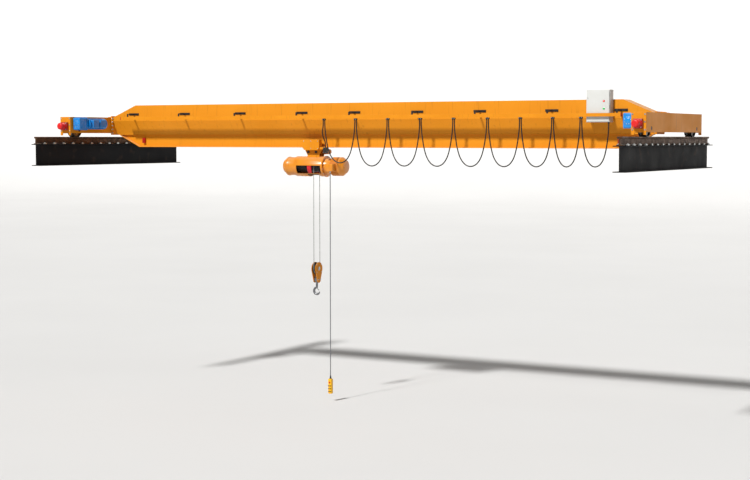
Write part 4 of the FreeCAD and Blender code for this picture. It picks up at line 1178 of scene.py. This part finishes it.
@dataclass
class TravelDrives:
    """A gearbox and motor on the inner face of each truck."""

    barrel: float = 0.128
    axis_x: float = 0.283
    axis_z: float = 0.975
    case_length: float = 0.210
    box_starts: tuple[float, float] = (0.060, 0.320)
    box_length: float = 0.21
    box_half: float = 0.09
    box_reach: float = 0.173

    def build(self) -> None:
        """Model the left drive, and its mirror image on the right truck."""
        span = centre_of("rail_right").x
        cases, barrels, boxes, lids, bolts = [], [], [], [], []
        for side in Side:
            pieces = self.one()
            for store, skin in zip((cases, barrels, boxes, lids, bolts), pieces):
                if side is Side.RIGHT:
                    skin = Skin(skin.points * [-1, 1, 1] + [span, 0, 0], skin.faces, skin.uvs).outward()
                store.append(skin)
        show(cases[0].joined(cases[1]), "gearbox_cases", Finishes.BLUE, "bridge", ("drive_gearboxes",))
        show(barrels[0].joined(barrels[1]), "travel_motor_barrels", Finishes.BLUE, "bridge",
             ("drive_motors",))
        show(boxes[0].joined(boxes[1]), "travel_motor_boxes", Finishes.BLUE, "bridge", ())
        show(lids[0].joined(lids[1]), "travel_motor_gaskets", Finishes.GASKET, "bridge")
        show(bolts[0].joined(bolts[1]), "travel_drive_bolts", Finishes.ZINC, "bridge")

    def one(self) -> tuple[Skin, Skin, Skin, Skin, Skin]:
        """The left drive's case, barrel, boxes, gaskets and bolts.

        Returns:
            The five surfaces.
        """
        low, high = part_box("drive_gearboxes")
        x_low, x_high = low.x, low.x + self.case_length
        inset = 0.007
        case = cushioned((x_low, low.y + 0.010, low.z + inset), (x_high - inset, high.y, high.z - inset),
                         0.022)
        ribs = [cushioned((x_low + 0.01, y - 0.006, low.z), (x_high, y + 0.006, high.z), 0.003)
                for y in np.linspace(low.y + 0.07, high.y - 0.07, 4)]
        middle = (x_low + 0.100, low.y + 0.010, self.axis_z)
        cover = revolved([(0.004, 0.084), (-0.003, 0.086), (-0.005, 0.082), (-0.005, 0.052), (-0.009, 0.046),
                          (-0.010, 0.040)], Axis.Y, middle, 48)
        case = case.joined(*ribs, cover)
        bolts = [bolt(Axis.Y, -1, 0.014, 0.0045).repeated(
            ring_places(Axis.Y, (middle[0], low.y + 0.0052, self.axis_z), 0.068, 8, 22))]
        start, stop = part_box("drive_motors")[0].y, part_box("drive_motors")[1].y
        r = self.barrel
        middle = (self.axis_x, 0, self.axis_z)
        flange = revolved([(start, r * 0.98), (start + 0.002, r), (start + 0.022, r),
                           (start + 0.024, r * 0.9), (start + 0.045, r * 0.88)], Axis.Y, middle, 48)
        fins = revolved([(start + 0.042, r * 0.9), (start + 0.046, r), (stop - 0.150, r),
                         (stop - 0.146, r * 0.9)], Axis.Y, middle, 192, flutes=32, depth=0.012)
        bell = revolved([(stop - 0.150, r * 0.88), (stop - 0.130, r * 0.9), (stop - 0.128, r * 0.99),
                         (stop - 0.02, r * 0.99), (stop - 0.006, r * 0.9), (stop, r * 0.78)],
                        Axis.Y, middle, 48)
        boxes, lids = [], []
        far = self.axis_x + self.box_reach
        z_low, z_high = self.axis_z - self.box_half, self.axis_z + self.box_half
        for first in (start + step for step in self.box_starts):
            base = (self.axis_x + 0.02, first, z_low)
            last = first + self.box_length
            boxes.append(cushioned(base, (far - 0.034, last, z_high), 0.008))
            boxes.append(cushioned((far - 0.030, first, z_low), (far, last, z_high), 0.010))
            lids.append(cushioned((far - 0.036, first + 0.004, z_low + 0.004),
                                  (far - 0.028, first + 0.206, z_high - 0.004), 0.002))
            spots = grid_places((far, far, 1), (first + 0.016, first + 0.194, 2),
                                (z_low + 0.016, z_high - 0.016, 2))
            screw = revolved([(-0.002, 0.007), (0.0, 0.006)], Axis.X, (0, 0, 0), 12)
            bolts.append(screw.repeated(spots))
        joined = bolts[0].joined(*bolts[1:])
        return (case, flange.joined(fins, bell), boxes[0].joined(*boxes[1:]), lids[0].joined(lids[1]), joined)


@dataclass
class FestoonTrack:
    """The C-rail on its brackets, with the nine carriers that run in it.

    Brackets are shares of the way from the first pad's middle to the last one's.
    """

    cap: float = 0.016
    carriers: int = 9
    brackets: tuple[float, ...] = (0, 0.122, 0.25, 0.386, 0.497, 0.624, 0.745, 0.878, 1)
    pad_half: float = 0.145
    pad_bolt: float = 0.11
    pad_y: float = -0.222
    pad_z: float = 1.21
    saddle_top: float = 1.070
    screw_z: float = 1.056
    neck_top: float = 1.097
    roller_z: float = 1.0995

    def build(self) -> None:
        """Finish the rail and brackets, cap its ends in red, and model the carriers."""
        finish_node("festoon_track", Finishes.ORANGE, 1)
        finish_node("track_brackets", Finishes.BLACK, 3)
        low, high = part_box("festoon_track")
        lap = 0.003
        caps = [cushioned((x, low.y - lap, low.z - lap), (x + self.cap, high.y + lap, high.z + lap), lap)
                for x in (low.x, high.x - self.cap)]
        show(caps[0].joined(caps[1]), "track_end_caps", Finishes.STOP, "bridge")
        self.pads()
        for number in range(1, self.carriers + 1):
            self.carrier(number)

    def pads(self) -> None:
        """Two hexagon bolts on each bracket pad, where it is clamped to the girder's face."""
        low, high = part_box("track_brackets")
        rows = []
        for share in self.brackets:
            x = low.x + self.pad_half + (high.x - low.x - 2 * self.pad_half) * share
            spots = grid_places((x - self.pad_bolt, x + self.pad_bolt, 2), (self.pad_y, self.pad_y, 1),
                                (self.pad_z, self.pad_z, 1))
            rows.append(bolt(Axis.Y, -1, 0.026, 0.012).repeated(spots))
        show(rows[0].joined(*rows[1:]), "bracket_bolts", Finishes.BLACK, "bridge")

    def carrier(self, number: int) -> None:
        """One cable carrier: a roller in the rail, a neck, and a saddle that clamps the cable.

        Args:
            number: the carrier, from 1 at the trolley.
        """
        name = f"festoon_carrier_{number}"
        low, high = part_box(name)
        x, y = (low.x + high.x) / 2, (low.y + high.y) / 2
        base = self.saddle_top
        saddle = cushioned((low.x, low.y, low.z), (high.x, high.y, base), 0.006)
        lip = cushioned((low.x + 0.006, low.y, low.z + 0.010), (high.x - 0.006, high.y, low.z + 0.016), 0.002)
        neck = cushioned((x - 0.014, y - 0.006, base - 0.004), (x + 0.014, y + 0.006, self.neck_top), 0.003)
        show(saddle.joined(lip, neck), f"{name}_saddle", Finishes.NYLON, name, (name,))
        wheel = revolved([(-0.019, 0.008), (-0.018, 0.0125), (-0.010, 0.0135), (0.010, 0.0135),
                          (0.018, 0.0125), (0.019, 0.008)], Axis.Y, (x, y, self.roller_z), 24)
        show(wheel, f"{name}_roller", Finishes.ZINC, name)
        screw = bolt(Axis.Y, -1, 0.013, 0.006)
        y = low.y + 0.001
        spots = grid_places((x - 0.024, x + 0.024, 2), (y, y, 1), (self.screw_z, self.screw_z, 1))
        show(screw.repeated(spots), f"{name}_screws", Finishes.ZINC, name)


@dataclass
class Cabinet:
    """The control cabinet with its door, two lamps and the cable gland.

    Hinges and locks are shares of the door's height.
    """

    edge: float = 0.010
    lamp: float = 0.026
    hinges: tuple[float, ...] = (0.12, 0.5, 0.88)
    locks: tuple[float, ...] = (0.25, 0.75)

    def build(self) -> None:
        """Model the case, door, hardware and lamps."""
        low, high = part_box("control_cabinet")
        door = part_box("cabinet_door")
        body_low = door[0].z - 0.012
        case = cushioned((low.x, low.y, body_low), (high.x, high.y, high.z), self.edge)
        gland_x = high.x - GLAND_INSET
        gland = revolved([(body_low + 0.01, 0.026), (body_low - 0.006, 0.026), (body_low - 0.008, 0.022),
                          (low.z + 0.008, 0.021), (low.z, 0.0165)], Axis.Z, (gland_x, GLAND_Y, 0), 6)
        hood = cushioned((low.x, low.y, high.z - 0.014), (high.x, high.y, high.z), 0.005)
        show(case.joined(hood), "cabinet_case", Finishes.POWDER, "bridge", ("control_cabinet",))
        show(gland, "cabinet_gland", Finishes.NYLON, "bridge")
        leaf = cushioned((door[0].x, door[0].y, door[0].z), (door[1].x, door[1].y + 0.001, door[1].z), 0.006)
        show(leaf, "cabinet_door_leaf", Finishes.POWDER, "bridge", ("cabinet_door",))
        self.hardware(door)
        self.lamps(door)

    def hardware(self, door: tuple[Vector, Vector]) -> None:
        """A black gasket behind the door, three hinge barrels on its right and two locks on its left.

        Args:
            door: the door's lowest and highest corner.
        """
        gasket = cushioned((door[0].x + 0.006, door[1].y - 0.003, door[0].z + 0.006),
                           (door[1].x - 0.006, door[1].y + 0.002, door[1].z - 0.006), 0.001)
        show(gasket, "cabinet_gasket", Finishes.GASKET, "bridge")
        rows = []
        for share in self.hinges:
            z = door[0].z + (door[1].z - door[0].z) * share
            rows.append(revolved([(z - 0.032, 0.004), (z - 0.030, 0.006), (z - 0.001, 0.006), (z, 0.0052),
                                  (z + 0.001, 0.006), (z + 0.030, 0.006), (z + 0.032, 0.004)], Axis.Z,
                                 (door[1].x - 0.001, door[0].y + 0.008, 0), 16))
        for share in self.locks:
            z = door[0].z + (door[1].z - door[0].z) * share
            y = door[0].y
            rows.append(revolved([(y + 0.001, 0.0135), (y - 0.002, 0.013), (y - 0.003, 0.010),
                                  (y - 0.0032, 0.004), (y - 0.0015, 0.0036)], Axis.Y,
                                 (door[0].x + 0.030, 0, z), 24))
        show(rows[0].joined(*rows[1:]), "cabinet_hardware", Finishes.ZINC, "bridge")

    def lamps(self, door: tuple[Vector, Vector]) -> None:
        """A domed lens in a turned bezel for each of the two lamps.

        Args:
            door: the door's lowest and highest corner.
        """
        low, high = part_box("cabinet_lamps")
        x = (low.x + high.x) / 2
        y, tip = door[0].y, low.y
        deep = y - tip
        bezels = []
        for z, name, finish in ((high.z - self.lamp, "lamp_red", Finishes.RED_LENS),
                                (low.z + self.lamp, "lamp_green", Finishes.GREEN_LENS)):
            dome = [(y - deep * 0.3 - deep * 0.68 * math.sin(a), 0.001 + self.lamp * 0.78 * math.cos(a))
                    for a in np.linspace(0, np.pi / 2, 7)]
            replaced = ("cabinet_lamps",) if name == "lamp_red" else ()
            lens = revolved([(y + 0.001, self.lamp * 0.78), *dome], Axis.Y, (x, 0, z), 40)
            show(lens, name, finish, "bridge", replaced)
            bezels.append(revolved([(y + 0.001, self.lamp), (y - deep * 0.45, self.lamp * 0.99),
                                    (y - deep * 0.55, self.lamp * 0.93), (y - deep * 0.45, self.lamp * 0.80),
                                    (y + 0.001, self.lamp * 0.79)], Axis.Y, (x, 0, z), 40, Fill.LOOPED))
        show(bezels[0].joined(bezels[1]), "lamp_bezels", Finishes.ZINC, "bridge")


# ---------------------------------------------------------------- trolley and hoist


@dataclass
class Trolley:
    """The low-headroom trolley that runs on the track beam's flange."""

    socket_gland: tuple[float, float, float] = (6.255, -0.245, 0)

    def build(self) -> None:
        """Finish its plates and wheels, and model its motor, fasteners and socket gland."""
        finish_node("trolley_frame", Finishes.ORANGE, 3)
        finish_node("trolley_cover", Finishes.ORANGE, 8)
        finish_node("cable_socket", Finishes.BLACK, 6)
        finish_node("tie_bolts", Finishes.BLACK, 2)
        for side in ("left", "right"):
            finish_node(f"trolley_wheels_{side}", Finishes.TREAD, 1)
        self.motor()
        self.bolts()
        self.socket()

    def motor(self) -> None:
        """The finned travel motor with its end bell and fan cowl, on the trolley's back plate."""
        low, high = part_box("trolley_motor")
        r = (high.z - low.z) / 2
        middle = ((low.x + high.x) / 2, 0, (low.z + high.z) / 2)
        y, end = low.y, high.y
        flange = revolved([(y, r * 0.98), (y + 0.012, r), (y + 0.014, r * 0.86), (y + 0.03, r * 0.86)],
                          Axis.Y, middle, 40)
        fins = revolved([(y + 0.028, r * 0.88), (y + 0.030, r * 0.98), (end - 0.06, r * 0.98),
                         (end - 0.058, r * 0.88)], Axis.Y, middle, 144, flutes=24, depth=0.007)
        cowl = revolved([(end - 0.062, r * 0.88), (end - 0.055, r), (end - 0.012, r), (end, r * 0.84)],
                        Axis.Y, middle, 40)
        show(flange.joined(fins, cowl), "trolley_motor_body", Finishes.CASTING, "trolley", ("trolley_motor",))

    def bolts(self) -> None:
        """Six screws near the cover's edges, and a row of four bolts on the frame's back."""
        low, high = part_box("trolley_frame")
        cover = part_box("trolley_cover")
        y = cover[0].y
        head = bolt(Axis.Y, -1, 0.016, 0.006)
        edge = 0.035
        spots = grid_places((low.x + edge, high.x - edge, 3), (y, y, 1),
                            (cover[0].z + edge, cover[1].z - edge, 2))
        show(head.repeated(spots), "cover_screws", Finishes.ZINC, "trolley")
        back = bolt(Axis.Y, 1, 0.024, 0.012).repeated(
            grid_places((low.x + 0.05, high.x - 0.05, 4), (high.y, high.y, 1),
                        (high.z - 0.06, high.z - 0.06, 1)))
        show(back, "side_plate_bolts", Finishes.ZINC, "trolley")

    def socket(self) -> None:
        """The gland on top of the cable socket and four screws in its lid."""
        low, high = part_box("cable_socket")
        gland = revolved([(high.z - 0.012, 0.022), (high.z - 0.001, 0.022), (high.z, 0.0150)], Axis.Z,
                         self.socket_gland, 6)
        screw = revolved([(low.y + 0.001, 0.006), (low.y - 0.0015, 0.0055)], Axis.Y, (0, 0, 0), 12)
        spots = grid_places((low.x + 0.012, high.x - 0.012, 2), (0, 0, 1), (low.z + 0.014, high.z - 0.014, 2))
        show(gland.joined(screw.repeated(spots)), "socket_hardware", Finishes.ZINC, "trolley")


@dataclass
class Hoist:
    """The wire-rope hoist: reducer, drum in its shell, rope guide, motor and terminal box."""

    groove: float = 0.016
    axis: tuple[float, float, float] = (0.0, 0.0, 0.0)
    rim: float = 0.1499
    core: float = 0.122
    ring_end: float = 6.150
    neck_end: float = 6.320
    barrel_end: float = 6.560
    barrel: float = 0.212
    box_base: float = -0.103
    pendant_gland: tuple[float, float, float] = (6.395, -0.28, 0)

    def build(self) -> None:
        """Finish the shell, and model what turns or shows in its windows."""
        finish_node("drum_shell", Finishes.CASTING, 3)
        finish_node("rope_anchor", Finishes.BLACK, 3)
        self.drum()
        self.guide()
        self.reducer()
        self.motor()
        self.terminal_box()

    def drum(self) -> None:
        """The drum: rims at both ends, and a rope wound in its groove.

        The wound part is a surface of revolution with r = r0 + g |cos(pi x / pitch)|, so each turn of
        the rope stands out as half a circle.
        """
        low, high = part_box("rope_drum")
        rim, core = self.rim, self.core
        first, last = low.x + 0.030, high.x - 0.030
        spots = np.arange(first + 0.012, last - 0.012, self.groove / 8)
        wound = [(float(x), core - 0.002 + 0.008 * abs(math.cos(math.pi * (x - first) / self.groove)))
                 for x in spots]
        body = revolved([(low.x + 0.001, 0.110), (low.x + 0.002, core * 0.98), (high.x - 0.002, core * 0.98),
                         (high.x - 0.001, 0.110)], Axis.X, self.axis, 72)
        rims = []
        for x, way in ((low.x, 1), (high.x, -1)):
            rims.append(revolved([(x + way * 0.0005, 0.05), (x + way * 0.0005, rim - 0.004),
                                  (x + way * 0.004, rim - 0.0002), (x + way * 0.020, rim - 0.0002),
                                  (x + way * 0.024, rim - 0.006), (x + way * 0.026, core)],
                                 Axis.X, self.axis, 80))
        show(body.joined(*rims), "drum_body", Finishes.DRUM, "rope_drum", ("rope_drum",), 30)
        show(revolved(wound, Axis.X, self.axis, 80), "wound_rope", Finishes.WOUND, "rope_drum", (), 60)

    def guide(self) -> None:
        """Finish the red rope guide that shows in the window."""
        finish_node("rope_guide", Finishes.GUIDE, 3)

    def reducer(self) -> None:
        """A stepped cast case with a low cap on its end and a ring of bolts."""
        low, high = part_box("hoist_gearbox")
        r = high.z
        profile = [(low.x, 0.135), (low.x + 0.006, 0.150), (low.x + 0.020, 0.160), (low.x + 0.060, 0.172),
                   (low.x + 0.085, 0.186), (low.x + 0.090, r - 0.004), (low.x + 0.094, r),
                   (low.x + 0.122, r), (low.x + 0.126, r - 0.006), (low.x + 0.136, r - 0.010),
                   (high.x - 0.040, r - 0.008), (high.x - 0.034, r), (high.x - 0.002, r), (high.x, r - 0.003)]
        case = revolved(profile, Axis.X, self.axis, 112)
        cap = revolved([(low.x + 0.001, 0.060), (low.x, 0.078), (low.x + 0.004, 0.084),
                        (low.x + 0.012, 0.088)], Axis.X, self.axis, 48)
        show(case.joined(cap), "reducer_case", Finishes.CASTING, "trolley", ("hoist_gearbox",))
        heads = bolt(Axis.X, -1, 0.020, 0.010).repeated(
            ring_places(Axis.X, (low.x + 0.092, 0, 0), r - 0.015, 16, 11))
        show(heads, "reducer_bolts", Finishes.ZINC, "trolley")

    def motor(self) -> None:
        """A flange ring with bolts, a neck, a finned barrel and a conical cowl with a ringed grille."""
        low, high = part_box("hoist_motor")
        ring_end, neck_end, barrel_end = self.ring_end, self.neck_end, self.barrel_end
        r = self.barrel
        ring = revolved([(low.x, 0.236), (low.x + 0.003, 0.2398), (ring_end - 0.003, 0.2398),
                         (ring_end, 0.236)], Axis.X, self.axis, 96)
        neck = revolved([(ring_end - 0.004, 0.188), (ring_end + 0.012, 0.1795), (neck_end - 0.02, 0.1795),
                         (neck_end + 0.004, 0.186)], Axis.X, self.axis, 80)
        fins = revolved([(neck_end, r - 0.012), (neck_end + 0.004, r), (barrel_end - 0.030, r),
                         (barrel_end - 0.026, r - 0.012)], Axis.X, self.axis, 288, flutes=48, depth=0.013)
        cowl = revolved([(barrel_end - 0.032, r - 0.014), (barrel_end - 0.028, r - 0.0005),
                         (barrel_end, r - 0.001), (barrel_end + 0.010, r - 0.010), (high.x - 0.006, 0.148),
                         (high.x, 0.138)], Axis.X, self.axis, 96)
        show(ring.joined(neck, fins, cowl), "hoist_motor_body", Finishes.CASTING, "trolley", ("hoist_motor",))
        grille = [revolved([(high.x - 0.0010, radius + 0.004), (high.x - 0.0002, radius + 0.003),
                            (high.x - 0.0002, radius - 0.003), (high.x - 0.0010, radius - 0.004)],
                           Axis.X, self.axis, 48, Fill.LOOPED) for radius in (0.03, 0.055, 0.08, 0.105)]
        show(grille[0].joined(*grille[1:]), "cowl_grille", Finishes.BLACK, "trolley")
        heads = bolt(Axis.X, 1, 0.020, 0.010).repeated(
            ring_places(Axis.X, (ring_end - 0.001, 0, 0), 0.218, 12, 15))
        show(heads, "motor_flange_bolts", Finishes.ZINC, "trolley")

    def terminal_box(self) -> None:
        """The motor's terminal box, with a lid, four screws and the pendant's gland."""
        low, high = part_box("terminal_box")
        base = self.box_base
        case = cushioned((low.x, low.y + 0.014, base), (high.x, high.y, high.z), 0.008)
        lid = cushioned((low.x, low.y, base), (high.x, low.y + 0.012, high.z), 0.006)
        show(case.joined(lid), "terminal_case", Finishes.CASTING, "trolley", ("terminal_box",))
        gasket = cushioned((low.x + 0.003, low.y + 0.010, base + 0.003),
                           (high.x - 0.003, low.y + 0.016, high.z - 0.003), 0.001)
        show(gasket, "terminal_gasket", Finishes.GASKET, "trolley")
        screw = revolved([(low.y + 0.001, 0.0075), (low.y, 0.0070)], Axis.Y, (0, 0, 0), 12)
        spots = grid_places((low.x + 0.016, high.x - 0.016, 2), (0, 0, 1), (base + 0.016, high.z - 0.016, 2))
        gland = revolved([(base + 0.004, 0.020), (base - 0.018, 0.020), (base - 0.020, 0.0175),
                          (low.z + 0.004, 0.016), (low.z, 0.0125)], Axis.Z, self.pendant_gland, 6)
        show(gland.joined(screw.repeated(spots)), "terminal_hardware", Finishes.ZINC, "trolley")


@dataclass
class HookBlock:
    """The lower block: cheeks, sheave, crosshead and the forged hook with its latch."""

    groove: float = 0.0085
    shank_x: float = 5.870
    bow_z: float = -2.840
    bow: float = 0.075
    cheek_low: float = 5.811
    cheek_high: float = 5.929
    crosshead_z: float = -2.580

    def build(self) -> None:
        """Finish the plates, and model the sheave, the nuts and the hook."""
        finish_node("block_cheeks", Finishes.ORANGE, 3)
        finish_node("crosshead", Finishes.FORGED, 5)
        self.sheave()
        self.nuts()
        self.hook()

    def sheave(self) -> None:
        """A grooved sheave: hub, thin web and a rim whose groove is a half circle round the rope."""
        low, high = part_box("sheave")
        centre = centre_of("sheave")
        half, rim = (high.x - low.x) / 2, (high.z - low.z) / 2
        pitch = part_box("rope_falls")[1].y - 0.0075
        turn = np.linspace(-np.pi / 2, np.pi / 2, 11)
        bed = [(self.groove * math.sin(a), pitch - self.groove * math.cos(a)) for a in turn]
        flank = [(-half + 0.006, rim - 0.001), (-half + 0.010, rim), (-half + 0.013, rim - 0.001)]
        side = [(-half, 0.032), (-half + 0.001, 0.046), (-half + 0.004, 0.050), (-0.010, 0.056),
                (-0.009, 0.098), (-half + 0.008, 0.108), (-half + 0.006, 0.114)]
        profile = side + flank + bed + [(-s, r) for s, r in reversed(side + flank)]
        show(revolved(profile, Axis.X, tuple(centre), 112), "sheave_casting", Finishes.WHEEL, "sheave",
             ("sheave",), 30)

    def nuts(self) -> None:
        """A pin nut, four spacer bolts and two crosshead bolts on each cheek."""
        centre = centre_of("sheave")
        rows = []
        for x, way in ((self.cheek_low, -1), (self.cheek_high, 1)):
            rows.append(bolt(Axis.X, way, 0.020, 0.007).repeated(np.array(
                [(x, y, centre.z + z) for y in (-0.095, 0.095) for z in (-0.075, 0.095)])))
            rows.append(bolt(Axis.X, way, 0.024, 0.007).repeated(np.array(
                [(x, y, self.crosshead_z) for y in (-0.040, 0.040)])))
            rows.append(bolt(Axis.X, way, 0.066, 0.012).repeated(np.array([(x, 0, centre.z)])))
        show(rows[0].joined(*rows[1:]), "block_bolts", Finishes.ZINC, "hook_block")

    def hook(self) -> None:
        """The forged hook: a shank and nut, and a bow whose section swells at its lowest part.

        The bow is an arc of radius R about its centre, P(a) = c + R (cos a, 0, sin a). Its section is an
        ellipse whose half-width swells as half a sine along the arc and narrows over the last fifth.
        """
        x, z = self.shank_x, self.bow_z
        share = np.linspace(0, 1, 60)
        turn = np.radians(np.linspace(96, 350, 60))
        line = np.stack([x + self.bow * np.cos(turn), np.zeros(60), z + self.bow * np.sin(turn)], 1)
        swell = 0.006 * np.sin(np.pi * np.clip(share * 1.15, 0, 1))
        thick = 0.022 + swell - 0.015 * np.clip(share - 0.82, 0, 1) / 0.18
        rings = circle(1.0, 28)[None] * np.stack([thick, thick * 0.86], 1)[:, None, :]
        body = swept(line, rings, (0, 1, 0))
        nut = revolved([(-2.5110, 0.030), (-2.512, 0.0355), (-2.543, 0.0355), (-2.5445, 0.033)], Axis.Z,
                       (x, 0, 0), 6)
        shank = revolved([(-2.530, 0.0215), (-2.616, 0.0215), (-2.617, 0.034), (-2.640, 0.034),
                          (-2.646, 0.026), (-2.700, 0.0235), (-2.745, 0.024), (-2.775, 0.0225)],
                         Axis.Z, (x, 0, 0), 40)
        show(body.joined(nut, shank), "hook_forging", Finishes.FORGED, "hook", ("hook",), 40)
        latch_line = np.array([(x - 0.004, 0, -2.778), (x + 0.030, 0, -2.800), (x + 0.058, 0, -2.828)])
        strip = np.array([(-0.009, -0.0015), (0.009, -0.0015), (0.009, 0.0015), (-0.009, 0.0015)])
        latch = swept(latch_line, strip, (0, 1, 0))
        pin = revolved([(-0.014, 0.003), (-0.013, 0.004), (0.013, 0.004), (0.014, 0.003)], Axis.Y,
                       (x - 0.004, 0, -2.778), 16)
        show(latch.joined(pin), "hook_latch", Finishes.ZINC, "hook")


# ---------------------------------------------------------------- studio


@dataclass
class Studio:
    """A pale floor that curves up into a wall, an even sky, one soft sun and the camera."""

    eye: tuple[float, float, float] = (24.18, -29.92, 0.65)
    pitch: float = -3.8
    yaw: float = 29.3
    lens: float = 74.0
    floor_z: float = -5.30
    floor_half: float = 500.0
    wall_start: float = 95.0
    wall_curve: float = 45.0
    sky: float = 0.22
    key: float = 4.1

    def build(self) -> None:
        """Make the floor, the world, the lights and the camera."""
        scene = bpy.context.scene
        # Matt paint rolled onto a smooth floor: pale and even, without reflections.
        paint = Finish("matt_studio_floor", "D9D8D6", "D6D5D3", blotch_mm=9000, grain_mm=40, relief_mm=0.2,
                       roughness=0.9, spread=0.03)
        show(self.sweep(), "floor", paint, None, crease=60)
        world = bpy.data.worlds.new("studio")
        world.use_nodes = True
        scene.world = world
        backdrop = world.node_tree.nodes["Background"]
        backdrop.inputs["Color"].default_value = linear("FFFFFF")
        backdrop.inputs["Strength"].default_value = self.sky
        self.sun("key", (47, 0, -10), self.key, 5)
        camera = bpy.data.objects.new("camera", bpy.data.cameras.new("camera"))
        scene.collection.objects.link(camera)
        camera.location = self.eye
        camera.rotation_euler = (math.radians(90 + self.pitch), 0, math.radians(self.yaw))
        camera.data.lens = self.lens
        camera.data.sensor_width = 36
        camera.data.clip_end = 2000
        scene.camera = camera
        scene.view_settings.view_transform = "Standard"

    def sweep(self) -> Skin:
        """The floor and the wall behind it as one sheet: a line, a quarter circle and a line, along X.

        Returns:
            The open surface, facing up and towards the camera.
        """
        turn = np.linspace(0, np.pi / 2, 24)
        y = np.concatenate([[-self.floor_half], self.wall_start + self.wall_curve * np.sin(turn)])
        z = np.concatenate([[0.0], self.wall_curve * (1 - np.cos(turn))]) + self.floor_z
        y, z = np.append(y, y[-1]), np.append(z, z[-1] + self.wall_curve)
        sides = (-self.floor_half, self.floor_half)
        rows = np.stack([np.stack([np.full(len(y), x), y, z], 1) for x in sides])
        return woven(rows, Fill.OPEN, False)

    def sun(self, name: str, turned: tuple[float, float, float], strength: float, soft: float) -> None:
        """Add one distant soft light.

        Args:
            name: its name.
            turned: its rotation in degrees.
            strength: its strength.
            soft: its angular size in degrees.
        """
        lamp = bpy.data.lights.new(name, "SUN")
        lamp.energy = strength
        lamp.angle = math.radians(soft)
        holder = bpy.data.objects.new(name, lamp)
        holder.rotation_euler = tuple(math.radians(angle) for angle in turned)
        bpy.context.scene.collection.objects.link(holder)


@dataclass
class Crane:
    """The whole crane, from its runways to its hook, and the studio round it."""

    parts: list = field(default_factory=lambda: [
        Studio(), FestoonCables(), FestoonDrop(), Pendant(), HoistRopes(), Runways(), Girder(), EndTrucks(),
        TravelDrives(), FestoonTrack(), Cabinet(), Trolley(), Hoist(), HookBlock()])

    def build(self) -> None:
        """Build every part in turn."""
        for part in self.parts:
            part.build()


def main() -> None:
    """Build the crane."""
    logging.basicConfig(level=logging.INFO, format="%(name)s: %(message)s")
    Crane().build()


if __name__ == "__main__":
    main()
